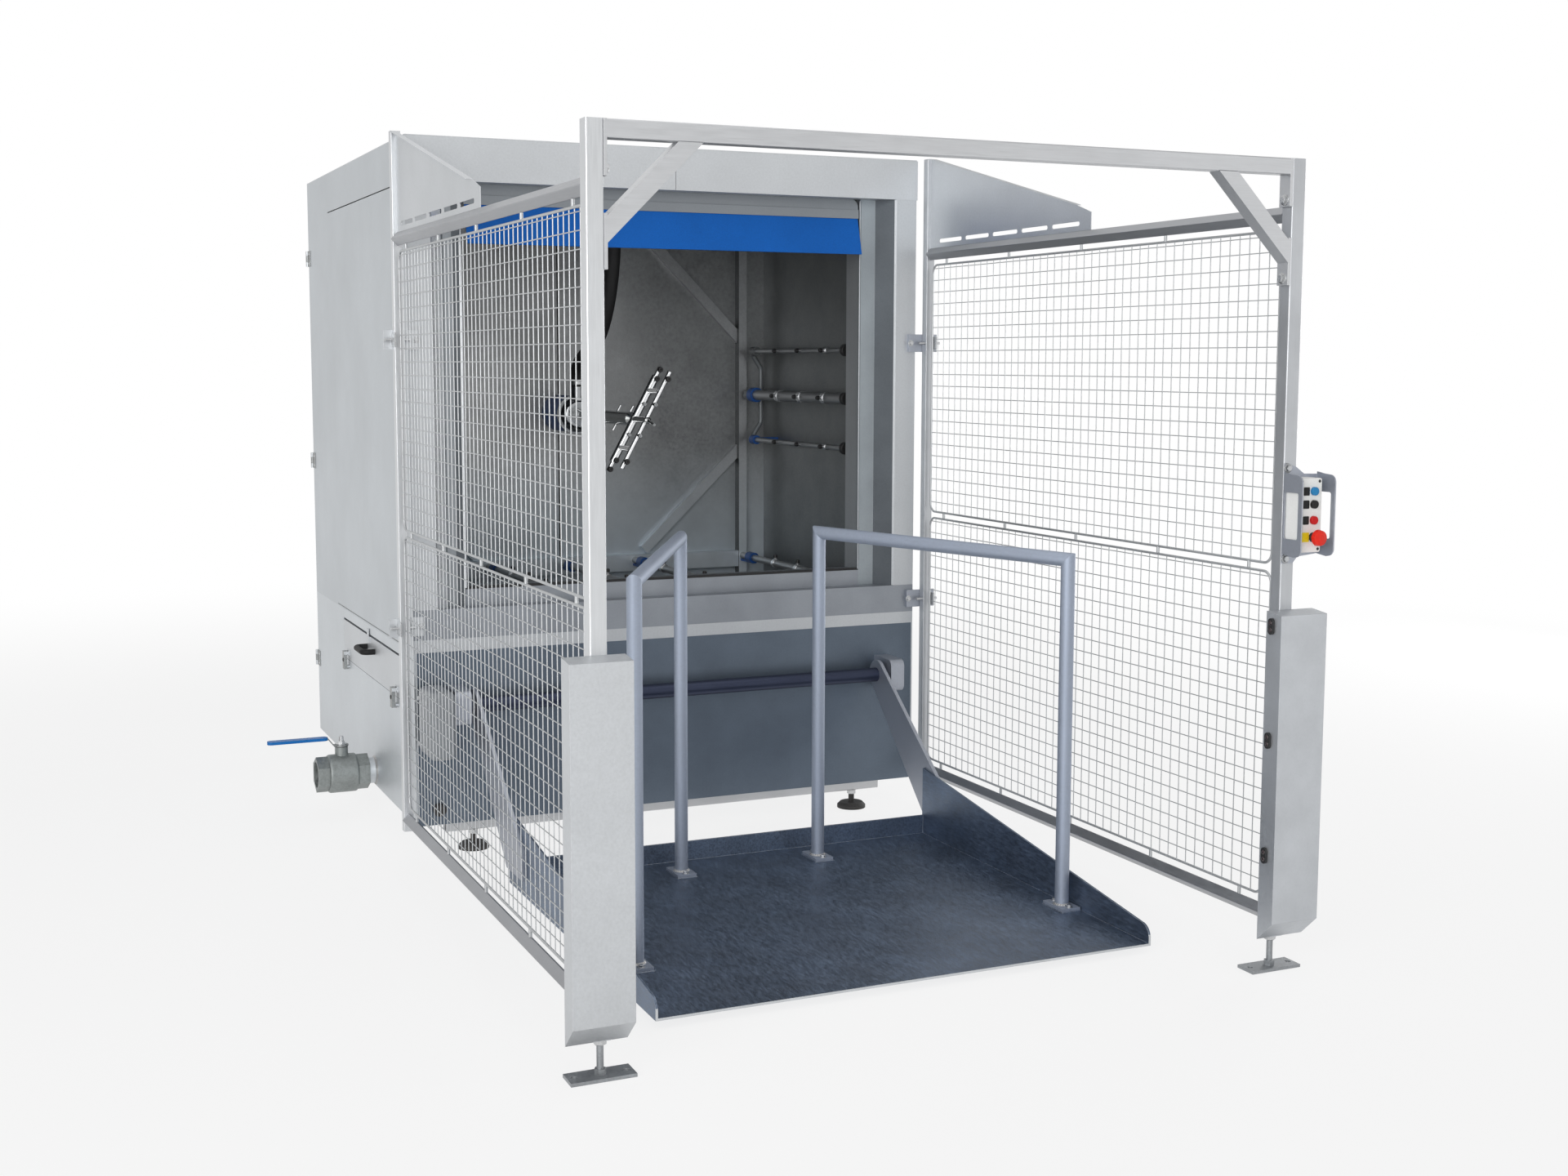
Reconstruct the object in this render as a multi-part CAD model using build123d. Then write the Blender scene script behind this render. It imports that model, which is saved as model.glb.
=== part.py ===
from build123d import *
import math
import os

# Driving dimensions in millimetres. Until the last step they are counted from the middle of the
# gate on the floor: X across the machine, Y from the gate to the cabin, Z up.

# Gate: square posts, a bolted portal and folded covers in front of the posts
GATE_HALF = 920
POST = 40
POST_WALL = 3
POST_CORNER = 4
POST_BOTTOM = 89
GATE_TOP = 2075
END_PLATE = 8
HEADER_PLATE_Z = (1957, 2075)
KNEE_PLATE_Z = (1763, 1880)
KNEE_TOP_X = 732
COVER_X = (860, 1004)
COVER_DEPTH = 57
COVER_TOP_BACK = 945
COVER_TOP_FRONT = 938
COVER_CHAMFER_Z = (89, 143)
COVER_SHEET = 2
EYE_HEIGHTS = (316, 615, 908)
EYE_Y = -22
EYE_WIDTH = 20
EYE_LENGTH = 42
EYE_PROUD = 6
FOOT_PLATE = (153, 62, 8)
FOOT_MIDDLE = (918, 19)
FOOT_HOLE_SPACING = 122
FOOT_HOLE = 7
STUD = 8
NUT_FLATS = 24
NUT_HEIGHT = 13

# Control station on the right gate post
BRACKET_X = (900, 1006)
BRACKET_SHEET = 3
BRACKET_BACK = ((900, 1064), (934, 1064), (948, 1080), (1006, 1086), (1006, 1290), (962, 1291), (936, 1309),
                (900, 1318))
CHEEK = ((-3, 1088), (-45, 1083), (-72, 1088), (-72, 1289), (-30, 1292), (-3, 1296))
CHEEK_CORNER = 20
WINDOW_Y = (-57, -6)
WINDOW_Z = (1128, 1246)
STATION_X = (906, 975)
STATION_FRONT = -55
STATION_Z = (1096, 1283)
STATION_CORNER = 6
BUTTON_X = 951
BUTTON_HEIGHTS = (1250, 1217, 1177)
BUTTON = 10.5
BUTTON_PROUD = 8
BUTTON_STEM = 8
BUTTON_GAP = 0.4
EMERGENCY_X = 951
EMERGENCY_Z = 1134
MUSHROOM = 21
MUSHROOM_NECK = 9
MUSHROOM_PROUD = 33

# Fences between the gate and the cabin
REAR_POST = 30
REAR_POST_WALL = 2.5
REAR_POST_Y = 1897
REAR_POST_Z = (105, 2262)
RAIL_HEIGHTS = (142, 1940)
PANEL_Y = (60, 1865)
PANEL_HEIGHTS = ((184, 1035), (1057, 1902))
FRAME_BAR = 3.5
FRAME_CORNER = 30
PIN = 4.5
PIN_PLACES = (150, 546, 960, 1370, 1770)
MESH_PITCH = 40
WIRE = 3
FIRST_ROW_DROP = 12
SPLASH_OUTLINE = ((1882, 2262), (995, 2040), (912, 2012))
SPLASH_SHEET = 2
SPLASH_LIP = 18
SPLASH_SLOT = (150, 13)
SPLASH_BRIDGE = 25
SPLASH_SLOT_RISE = 22
BRACKET_HEIGHTS = (747, 1637)
BRACKET_TALL = 60
BRACKET_REACH = 28

# Cabin over the sump tank
CABIN_HALF = 885
CABIN_Y = (1925, 3635)
CABIN_TOP = 2260
TANK_Z = (105, 660)
SHEET = 3
RIM = 30
HEADER_HALF = 889
HEADER_BOTTOM = 2125
HEADER_RETURN = 65
HEADER_LIP = 25
JAMB_FACE_X = 809
SPLAY_X = 757
MOUTH_X = 700
MOUTH_Y = 1985
RETURN_Y = 2090
SILL_LEDGE = 795
SILL_TOP = 848
SEAL = (10, 8)
CARRIER_X = 690
CARRIER_BOTTOM = 2061
CARRIER_CORNER = 25
FLAP_X = 687
FLAP_SHEET = 4
FLAP_LAP = 26
FLAP_BOTTOM = (1946, 1938)
SIDE_SLOT_Y = (2136, 3216)
SIDE_SLOT_Z = (2116, 2120)
BACK_WALL_Y = 3220
FOOT_X = 685
FOOT_ROWS = (1996, 2469, 3091, 3564)
FOOT_PAD = 50
FOOT_STEM = 10
BASE_BAR = 40
BASE_BAR_HALF = 780
CORNER_POST_X = (753, 788)
CORNER_POST_DEPTH = 40
BACK_RAIL_Z = (735, 800)
BRACE = 40
BRACE_THICK = 25
BRACES = (((753, 1676), (215, 2220)), ((753, 1210), (345, 817)))
LEFT_SEAM_Y = (2095, 3185)
LEFT_SEAM_Z = (665, 669)
LEFT_SEAM_DEPTH = 1.5

# Spray pipes and the rotating spray arm
AXIS_Z = 1372
SPRAY_X = 787
SPRAY_Y = 2275
SPRAY_SMALL = 10
SPRAY_LARGE = 21
SPRAY_HEIGHTS = (1259, 1440, 1615)
LARGE_END = 3165
BOW_Y = 3138
BOW_REACH = 45
BOW_SLANT = 70
BOW_BEND = 25
BOW_TEE = 8
JET = 6
JET_LENGTH = 14
JET_PLACES = (2430, 2640, 2850)
CAP_LARGE = 23
CAP_SMALL = 22.5
CAP_LENGTH = 22
FLOOR_PIPE = 13.5
FLOOR_PIPE_Z = 780
FLOOR_PIPE_X = (-770, -300, 0, 300, 770)
FLOOR_PIPE_Y = 2120
SUPPORT_Y = (2190, 2220)
CLAMP_WALL = 8
CLAMP_GAP = 0.2
CLAMP_Y = (3075, 3115)
FLOOR_CLAMP_Y = (3060, 3110)
CLAMP_STEM = 18
HUB_FLANGE = 70
HUB_FLANGE_Y = 3010
HUB = 68
HUB_RIM = 74
HUB_RIM_Y = 2996
HUB_FRONT = 2955
HUB_BOSS_Y = 2983
HUB_BOSS_TOP = 1478
HUB_BOSS = 25
RUN_GAP = 0.05
ROTOR = 24
ROTOR_NECK = 11
ROTOR_NECK_Y = (2356, 2200)
SPIKE_Y = 2138
SPIKE = 5
SPIKE_DROP = 14
TAIL = 12.5
TAIL_Y = (3235, 3305)
ARM_TILT = 28.4
ARM_ROWS = ((2341, ((14, 168), (8, 204))), (2224, ((8, 187),)))
ARM_LINK_REACH = 112
ARM_LINK = 9
ARM_JET_REACH = (60, 160)
PIPE_JETS = ((2417, 0), (2501, 180), (2551, 0), (2633, 180), (2750, 90), (2860, 270))
PIPE_JET = 4
PIPE_JET_LENGTH = 26
HOSE = 28
HOSE_ROUTE = ((0, 2545, 2130), (0, 2545, 2040), (0, 2566, 1900), (0, 2623, 1770), (0, 2704, 1674),
              (0, 2805, 1620), (0, 2900, 1590), (0, HUB_BOSS_Y, 1548), (0, HUB_BOSS_Y, HUB_BOSS_TOP))
HOSE_ARC_SHARE = 0.45

# Pump room behind the chamber
PUMP_Y = 3450
PUMP_Z = 300
PUMP_CASE = 120
PUMP_CASE_HALF = 45
PUMP_MOTOR = 95
PUMP_MOTOR_END = 380
PUMP_OUTLET_Z = 450
PUMP_INLET_X = -95
SUCTION = 38
SUCTION_X = -260
SUCTION_BEND = 90
RISER = 30
ROOF_FEED = 24
ROOF_FEED_Z = 2205
ROOF_FEED_Y = 2545
FEED_BEND = 60
DRIVE_CASE = 65
DRIVE_CASE_Y = (3223, 3340)
DRIVE_MOTOR = 55
DRIVE_MOTOR_END = 300
MOTOR_FINS = 20
MOTOR_FIN = 4
MOTOR_CORE = 0.86
MOTOR_COWL = 0.7
TERMINAL_BOX = (0.2, 0.55, 1.35)
DOOR_GAP = 1.5
DOOR_Z = (115, 2250)
DOOR_RETURN = 25
HINGE_HEIGHTS = (394, 1183, 1970)
HINGE_AXIS = (889, 3638)
HINGE_TALL = 60
KNUCKLE = 6
HINGE_PIN = 3
KNUCKLE_HALF = 12
HINGE_LEAF_Y = 3585
DOOR_LEAF_X = 845
PULL = 6
PULL_PLACE = (90, 1180)
PULL_LENGTH = 130
PULL_PROUD = 30

# Filter drawer and drain on the left side of the tank
DRAWER_Y = (2123, 3077)
DRAWER_Z = (478, 628)
DRAWER_TOP_GAP = 8
DRAWER_RETURN = 20
BASKET_X = (-875, -375)
BASKET_Z = (492, 600)
BASKET_MARGIN = 20
BASKET_SLOT = (30, 400)
BASKET_SLOTS = 14
LEDGE = 60
HANDLE_Y = 2590
HANDLE_Z = 578
HANDLE_LENGTH = 130
HANDLE_PROUD = 40
HANDLE_BAR = 10
HANDLE_BEND = 20
CATCH_Y = 2614
CATCH_WIDTH = 24
CATCH_Z = (600, 646)
LATCH_PLACES = {"front": 2184, "rear": 3000}
LATCH_WIDTH = 34
LATCH_PIVOT = (-899, 506)
LATCH_PIN = 3
LATCH_TOE_Z = (446, 451)
KEEPER_Z = (452, 458)
KEEPER_PROUD = 8
DRAIN_Y = 2560
DRAIN_Z = 157
DRAIN_PIPE = 44.5
DRAIN_BORE = 38
STUB_X = -912
VALVE_END_X = -1088
VALVE_X = -1000
VALVE_FLATS = 107
VALVE_END = 38
VALVE_BODY = 66
BALL = 50
BALL_GAP = 0.3
OUTLET_THREAD = 43.9
OUTLET_DEPTH = 24
NECK = 22
NECK_TOP = 250
STEM = 9
LEVER_TIP_X = -1249
LEVER_EYE_Z = (252, 258)
LEVER_CRANK_X = (-1026, -1046)
LEVER_Z = (276, 286)
LEVER_WIDTH = 34
LEVER_WAIST = 24
LEVER_CORNER = 15

# Cradle that tips the load into the mouth of the cabin
AXLE_Y = 1850
AXLE_Z = 498
AXLE = 24
AXLE_X = (-820, 785)
PLATFORM_HALF = 705
PLATFORM_Y = (241, 1500)
PLATFORM_Z = (19, 25)
FLANGE = 6
FLANGE_FRONT = 70
FLANGE_REAR = 242
FLANGE_CORNER = 36
REAR_FLANGE_TOP = 85
ARM_PLATE = 12
ARM_FOOT_Y = (1320, 1488)
ARM_FOOT_Z = (70, 150)
ARM_HUB = 50
LOOP_TUBE = 20
LOOP_BORE = 17.5
LOOP_MIDDLE = 23
LOOP_FRONT = (643, 613, 1022)
LOOP_REAR = (229, 1363, 1049)
LOOP_FOOT = (60, 100, 8)
LOOP_PAD = (64, 104, 2)
BEARING_X = (735, 785)
BEARING_Y = 1795
BEARING_Z = (443, 553)
BEARING_CORNER = 24
MOTOR_X = (-880, -795)
MOTOR_Y = (1742, 1913)
MOTOR_Z = (348, 562)
MOTOR_CORNER = 24
MOTOR_SEAT_Z = (400, 520)

# The origin is moved to the middle of the whole machine's box, on the floor
FRONT_Y = STATION_FRONT - MUSHROOM_PROUD
REAR_Y = CABIN_Y[1] + PULL_PROUD + PULL
ORIGIN_X = (LEVER_TIP_X + BRACKET_X[1]) / 2
ORIGIN_Y = (FRONT_Y + REAR_Y) / 2


# Shared shapes

def block(x, y, z):
    """Rectangular block between the limits given along each axis."""
    limits = (x, y, z)
    size = [abs(high - low) for low, high in limits]
    middle = [(low + high) / 2 for low, high in limits]
    return Pos(*middle) * Box(*size)


def about(middle, size):
    """Limits of a stretch of the given size around its middle."""
    return middle - size / 2, middle + size / 2


def pair(shape):
    """A shape and its mirror image across the machine's middle plane."""
    return [shape, left(shape)]


def rod(start, end, radius):
    """Round bar between two points."""
    along = Vector(*end) - Vector(*start)
    section = Plane(origin=start, z_dir=along) * Circle(radius)
    return extrude(section, amount=along.length)


def square_tube(start, end, size, wall, corner, turn=0):
    """Square tube between two points, turned about its own line."""
    along = Vector(*end) - Vector(*start)
    inside = size - 2 * wall
    section = RectangleRounded(size, size, corner) - Rectangle(inside, inside)
    return extrude(Plane(origin=start, z_dir=along) * (Rot(0, 0, turn) * section), amount=along.length)


def prism_x(outline, x):
    """Outline of (Y, Z) points carried along X."""
    face = make_face(Polyline(*[(x[0], y, z) for y, z in outline], close=True))
    return extrude(face, amount=x[1] - x[0], dir=(1, 0, 0))


def prism_y(outline, y):
    """Outline of (X, Z) points carried along Y."""
    face = make_face(Polyline(*[(x, y[0], z) for x, z in outline], close=True))
    return extrude(face, amount=y[1] - y[0], dir=(0, 1, 0))


def prism_z(outline, z):
    """Outline of (X, Y) points carried along Z."""
    face = make_face(Polyline(*[(x, y, z[0]) for x, y in outline], close=True))
    return extrude(face, amount=z[1] - z[0], dir=(0, 0, 1))


def folded(points, thickness):
    """Closed outline of a sheet bent along the points, with its thickness on their left."""
    bends = [Vector(*point) for point in points]
    steps = [(after - before).normalized() for before, after in zip(bends, bends[1:])]
    normals = [Vector(-step.Y, step.X) for step in steps]
    befores = normals[:1] + normals
    afters = normals + normals[-1:]
    inner = []
    for bend, before, after in zip(bends, befores, afters):
        mitre = (before + after) / (1 + before.dot(after))
        inner.append(bend + mitre * thickness)
    return [(point.X, point.Y) for point in bends + inner[::-1]]


def turned(profile, axis):
    """Solid of revolution: (radius, distance) points turned about one axis."""
    face = make_face(Polyline(*[(radius, 0, along) for radius, along in profile], close=True))
    to_axis = {"X": Rot(0, 90, 0), "Y": Rot(-90, 0, 0), "Z": Rot(0, 0, 0)}
    return to_axis[axis] * revolve(face, axis=Axis.Z)


def bent_rod(points, radius, bends):
    """Round bar along straight runs joined by tangent arcs."""
    path = FilletPolyline(*points, radius=bends)
    return sweep(Plane(origin=path @ 0, z_dir=path % 0) * Circle(radius), path=path)


def left(shape):
    """A right-hand shape made into its left-hand twin."""
    return mirror(shape, about=Plane.YZ)


def save(name, *solids):
    """Write one node, moved from the gate's middle to the middle of the machine's box."""
    placed = [Pos(-ORIGIN_X, -ORIGIN_Y, 0) * solid for shape in solids for solid in shape.solids()]
    export_step(Compound(children=placed), f"parts/{name}.step")


# Gate

def gate_post():
    """Right gate post: square tube with a lid and an end plate that stands on the levelling stud."""
    tube = square_tube((GATE_HALF, POST / 2, POST_BOTTOM), (GATE_HALF, POST / 2, GATE_TOP),
                       POST, POST_WALL, POST_CORNER)
    inside = about(GATE_HALF, POST - POST_WALL)
    for ends in ((POST_BOTTOM, POST_BOTTOM + END_PLATE), (GATE_TOP - POST_WALL, GATE_TOP)):
        tube += block(inside, about(POST / 2, POST - POST_WALL), ends)
    return tube


def gate_portal():
    """Header, knee braces and end plates welded into one frame that bolts between the posts."""
    inner = GATE_HALF - POST / 2
    reach = inner - END_PLATE
    header_z = GATE_TOP - POST / 2
    portal = square_tube((-reach, POST / 2, header_z), (reach, POST / 2, header_z),
                         POST, POST_WALL, POST_CORNER)
    slant = POST * math.sqrt(2)
    underside = GATE_TOP - POST
    drop = reach - KNEE_TOP_X
    outer = [(KNEE_TOP_X, underside), (reach, underside - drop),
             (reach, underside - drop - slant), (KNEE_TOP_X - slant, underside)]
    shift = POST_WALL * math.sqrt(2)
    inner_outline = [(KNEE_TOP_X - shift, underside), (reach, underside - drop - shift),
                     (reach, underside - drop - slant + shift), (KNEE_TOP_X - slant + shift, underside)]
    knee = prism_y(outer, (0, POST)) - prism_y(inner_outline, (POST_WALL, POST - POST_WALL))
    plate_x = (reach, inner)
    plates = block(plate_x, (0, POST), HEADER_PLATE_Z) + block(plate_x, (0, POST), KNEE_PLATE_Z)
    for side in pair(knee + plates):
        portal += side
    return portal


def post_cover():
    """Folded box in front of the right post, open at the back, on a strip along the post."""
    low, high = COVER_CHAMFER_Z
    outline = [(-COVER_DEPTH, high), (0, low), (0, COVER_TOP_BACK), (-COVER_DEPTH, COVER_TOP_FRONT)]
    hollow = [(-COVER_DEPTH + COVER_SHEET, high + COVER_SHEET), (0, low + COVER_SHEET),
              (0, COVER_TOP_BACK - COVER_SHEET), (-COVER_DEPTH + COVER_SHEET, COVER_TOP_FRONT - COVER_SHEET)]
    inside_x = (COVER_X[0] + COVER_SHEET, COVER_X[1] - COVER_SHEET)
    shell = prism_x(outline, COVER_X) - prism_x(hollow, inside_x)
    return shell + block(about(GATE_HALF, POST), (-COVER_SHEET, 0), (low, COVER_TOP_BACK))


def photo_eye(height):
    """Light-barrier head with rounded ends on the inner face of the right cover."""
    face = Plane(origin=(COVER_X[0] - EYE_PROUD, EYE_Y, height), x_dir=(0, 0, 1), z_dir=(1, 0, 0))
    return extrude(face * SlotOverall(EYE_LENGTH, EYE_WIDTH), amount=EYE_PROUD)


def gate_foot():
    """Two-hole floor plate of the right post, and the stud with its nut that carries the post."""
    x, y = FOOT_MIDDLE
    length, width, thick = FOOT_PLATE
    plate = block(about(x, length), about(y, width), (0, thick))
    for offset in (-FOOT_HOLE_SPACING / 2, FOOT_HOLE_SPACING / 2):
        plate -= rod((x + offset, y, 0), (x + offset, y, thick), FOOT_HOLE)
    corner = NUT_FLATS / math.sqrt(3)
    nut = Pos(x, y, thick) * extrude(RegularPolygon(corner, 6), amount=NUT_HEIGHT)
    return [plate, nut + rod((x, y, thick), (x, y, POST_BOTTOM), STUD)]


# Control station

def panel_bracket():
    """Back plate on the right post and two cheeks with windows, which guard the buttons from the sides."""
    bracket = prism_y(BRACKET_BACK, (-BRACKET_SHEET, 0))
    for x in (BRACKET_X[0], BRACKET_X[1] - BRACKET_SHEET):
        sheet = (x, x + BRACKET_SHEET)
        cheek = prism_x(CHEEK, sheet)
        cheek = fillet(cheek.edges().filter_by(Axis.X).group_by(Axis.Y)[0], CHEEK_CORNER)
        window = block(sheet, WINDOW_Y, WINDOW_Z)
        bracket += cheek - fillet(window.edges().filter_by(Axis.X), STATION_CORNER)
    return bracket


def panel_box():
    """White control box with a round well for each button."""
    box = block(STATION_X, (STATION_FRONT, -BRACKET_SHEET), STATION_Z)
    box = fillet(box.edges().filter_by(Axis.Y), STATION_CORNER)
    depth = STATION_FRONT + BUTTON_STEM + BUTTON_PROUD
    wells = [(BUTTON_X, height, BUTTON) for height in BUTTON_HEIGHTS]
    for x, height, radius in wells + [(EMERGENCY_X, EMERGENCY_Z, MUSHROOM_NECK)]:
        box -= rod((x, STATION_FRONT, height), (x, depth, height), radius + BUTTON_GAP)
    return box


def push_button(height):
    """Round push button with a dished edge that travels into the box."""
    edge = BUTTON_GAP * 3
    profile = [(0, BUTTON_STEM), (BUTTON, BUTTON_STEM), (BUTTON, edge - BUTTON_PROUD),
               (BUTTON - edge, -BUTTON_PROUD), (0, -BUTTON_PROUD)]
    return Pos(BUTTON_X, STATION_FRONT, height) * turned(profile, "Y")


def emergency_button():
    """Mushroom button on a neck."""
    head = MUSHROOM_PROUD - BUTTON_PROUD * 2
    profile = [(0, BUTTON_STEM), (MUSHROOM_NECK, BUTTON_STEM), (MUSHROOM_NECK, -head),
               (MUSHROOM - BUTTON_GAP * 6, -head), (MUSHROOM, -head - BUTTON_GAP * 8),
               (MUSHROOM - BUTTON_GAP * 5, -MUSHROOM_PROUD + BUTTON_GAP * 6),
               (MUSHROOM_NECK, -MUSHROOM_PROUD), (0, -MUSHROOM_PROUD)]
    return Pos(EMERGENCY_X, STATION_FRONT, EMERGENCY_Z) * turned(profile, "Y")


# Fences

def rear_post():
    """Right rear post of the fence, closed at the top."""
    low, high = REAR_POST_Z
    tube = square_tube((GATE_HALF, REAR_POST_Y, low), (GATE_HALF, REAR_POST_Y, high),
                       REAR_POST, REAR_POST_WALL, REAR_POST_WALL)
    inside = REAR_POST - REAR_POST_WALL
    lid = block(about(GATE_HALF, inside), about(REAR_POST_Y, inside), (high - REAR_POST_WALL, high))
    return tube + lid


def fence_rail(height):
    """Square tube set on edge between the gate post and the rear post."""
    start = (GATE_HALF, POST, height)
    end = (GATE_HALF, REAR_POST_Y - REAR_POST / 2, height)
    return square_tube(start, end, REAR_POST, REAR_POST_WALL, REAR_POST_WALL, turn=45)


def rail_corner(height, up):
    """Height of the rail's upper or lower edge, with its rounding."""
    half = REAR_POST / math.sqrt(2) - REAR_POST_WALL * (math.sqrt(2) - 1)
    return height + half if up else height - half


def mesh_frame(heights, pins_from):
    """Round bar bent into a frame with rounded corners, with short pins up or down from it."""
    low, high = heights
    front, back = PANEL_Y
    corners = [(front, low), (back, low), (back, high), (front, high)]
    path = FilletPolyline(*[(GATE_HALF, y, z) for y, z in corners], radius=FRAME_CORNER, close=True)
    frame = sweep(Plane(origin=path @ 0, z_dir=path % 0) * Circle(FRAME_BAR), path=path)
    for start, end in pins_from:
        for place in PIN_PLACES:
            frame += rod((GATE_HALF, place, start), (GATE_HALF, place, end), PIN)
    return frame


def mesh_frames():
    """Upper and lower frame of the right fence: pins join them to the rails and to each other."""
    lower, upper = PANEL_HEIGHTS
    bottom_rail = rail_corner(RAIL_HEIGHTS[0], up=True)
    top_rail = rail_corner(RAIL_HEIGHTS[1], up=False)
    middle_pin = (lower[1] + FRAME_BAR, upper[0])
    lower_frame = mesh_frame(lower, [(bottom_rail, lower[0])])
    return [lower_frame, mesh_frame(upper, [(upper[1], top_rail), middle_pin])]


def bend_inset(drop):
    """How far a row at this drop below the top bar stays from the side bar, round the bend."""
    into_bend = max(FRAME_CORNER - drop + WIRE / 2, 0)
    inner = FRAME_CORNER - FRAME_BAR
    return FRAME_CORNER - math.sqrt(inner ** 2 - into_bend ** 2)


def mesh_wires(heights):
    """Welded wires inside one right frame: upright wires and rows in two layers that touch."""
    low, high = heights
    front, back = PANEL_Y
    inside_z = (low + FRAME_BAR, high - FRAME_BAR)
    wires = []
    count = int((back - front) / MESH_PITCH) - 1
    first = (front + back - (count - 1) * MESH_PITCH) / 2
    for i in range(count):
        wires.append(block((GATE_HALF - WIRE, GATE_HALF), about(first + i * MESH_PITCH, WIRE), inside_z))
    rows = int((high - low - FIRST_ROW_DROP) / MESH_PITCH) + 1
    for i in range(rows):
        drop = FIRST_ROW_DROP + i * MESH_PITCH
        inset = bend_inset(drop)
        row_y = (front + inset, back - inset)
        wires.append(block((GATE_HALF, GATE_HALF + WIRE), row_y, about(high - drop, WIRE)))
    return wires


def splash_sheet():
    """Slotted sheet on the right top rail, with a lip folded outwards along its sloping edge."""
    bottom = rail_corner(RAIL_HEIGHTS[1], up=True)
    high, knee, nose = SPLASH_OUTLINE
    outline = [high, knee, nose, (nose[0], bottom), (high[0], bottom)]
    half = SPLASH_SHEET / 2
    sheet = prism_x(outline, (GATE_HALF - half, GATE_HALF + half))
    lip = [high, knee, (knee[0], knee[1] - SPLASH_SHEET), (high[0], high[1] - SPLASH_SHEET)]
    sheet += prism_x(lip, (GATE_HALF - half, GATE_HALF + SPLASH_LIP))
    length, tall = SPLASH_SLOT
    step = length + SPLASH_BRIDGE
    count = int((high[0] - nose[0] - SPLASH_BRIDGE) / step)
    first = (high[0] + nose[0] - (count - 1) * step) / 2
    for i in range(count):
        middle = (GATE_HALF, first + i * step, bottom + SPLASH_SLOT_RISE)
        slot = Plane(origin=middle, x_dir=(0, 1, 0), z_dir=(1, 0, 0)) * SlotOverall(length, tall)
        sheet -= extrude(slot, amount=SPLASH_SHEET, both=True)
    return sheet


def fence_bracket(height):
    """Angle between the right rear post and the front of the cabin."""
    back = REAR_POST_Y + REAR_POST / 2
    front = CABIN_Y[0]
    post_x = GATE_HALF + REAR_POST / 2 + BRACKET_REACH
    outline = [(post_x, back), (post_x, back + SHEET), (CABIN_HALF, back + SHEET), (CABIN_HALF, front),
               (CABIN_HALF - REAR_POST, front), (CABIN_HALF - REAR_POST, back)]
    return prism_z(outline, about(height, BRACKET_TALL))


# Cabin

def side_wall():
    """Right side wall of the cabin, from the tank to the roof."""
    y = (CABIN_Y[0] + SHEET, CABIN_Y[1] - SHEET)
    return block((CABIN_HALF - SHEET, CABIN_HALF), y, (TANK_Z[1], CABIN_TOP - SHEET))


def roof_panel():
    """Flat lid over the side walls and the header."""
    return block((-CABIN_HALF, CABIN_HALF), (CABIN_Y[0], CABIN_Y[1] - SHEET), (CABIN_TOP - SHEET, CABIN_TOP))


def front_header():
    """Right half of the header: face, underside and a lip behind it."""
    front, lid = CABIN_Y[0], CABIN_TOP - SHEET
    back = front + HEADER_RETURN
    bends = [(front, lid), (front, HEADER_BOTTOM), (back, HEADER_BOTTOM), (back, HEADER_BOTTOM + HEADER_LIP)]
    header = prism_x(folded(bends, SHEET), (DOOR_GAP / 2, CABIN_HALF - SHEET))
    return header + block((DOOR_GAP / 2, HEADER_HALF), (front, front + SHEET), (HEADER_BOTTOM, lid))


def front_jamb():
    """Right jamb: face, splay, flat band round the mouth and a return into the chamber."""
    front = CABIN_Y[0]
    bends = [(CABIN_HALF, front), (JAMB_FACE_X, front), (SPLAY_X, MOUTH_Y), (MOUTH_X, MOUTH_Y),
             (MOUTH_X, RETURN_Y)]
    return prism_z(folded(bends[::-1], SHEET), (SILL_LEDGE, HEADER_BOTTOM))


def sill_apron():
    """Apron over the tank's front, ledge under the jambs, band and return under the mouth."""
    front = CABIN_Y[0]
    apron = block((-CABIN_HALF, CABIN_HALF), (front, front + SHEET), (TANK_Z[1], SILL_LEDGE))
    inside = CABIN_HALF - SHEET
    ledge = block((-inside, inside), (front, MOUTH_Y), (SILL_LEDGE - SHEET, SILL_LEDGE))
    bends = [(RETURN_Y, SILL_TOP), (MOUTH_Y, SILL_TOP), (MOUTH_Y, SILL_LEDGE - SHEET)]
    band = prism_x(folded(bends, SHEET), (-MOUTH_X, MOUTH_X))
    return apron + ledge + band


def sill_seal():
    """Rubber edging along the top of the sill."""
    depth, tall = SEAL
    seal = block((-MOUTH_X, MOUTH_X), (MOUTH_Y, MOUTH_Y + depth), (SILL_TOP, SILL_TOP + tall))
    return fillet(seal.edges().filter_by(Axis.X).group_by(Axis.Z)[-1], tall / 3)


def flap_carrier():
    """Plate under the header with rounded upper corners."""
    plate = block((-CARRIER_X, CARRIER_X), (MOUTH_Y, MOUTH_Y + SHEET), (CARRIER_BOTTOM, HEADER_BOTTOM))
    return fillet(plate.edges().filter_by(Axis.Y).group_by(Axis.Z)[-1], CARRIER_CORNER)


def splash_flap():
    """Stiff plastic flap that laps the carrier and leans forward below it."""
    front = MOUTH_Y - FLAP_SHEET
    bends = [(front, CARRIER_BOTTOM + FLAP_LAP), (front, CARRIER_BOTTOM), FLAP_BOTTOM]
    return prism_x(folded(bends, FLAP_SHEET), (-FLAP_X, FLAP_X))


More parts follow.
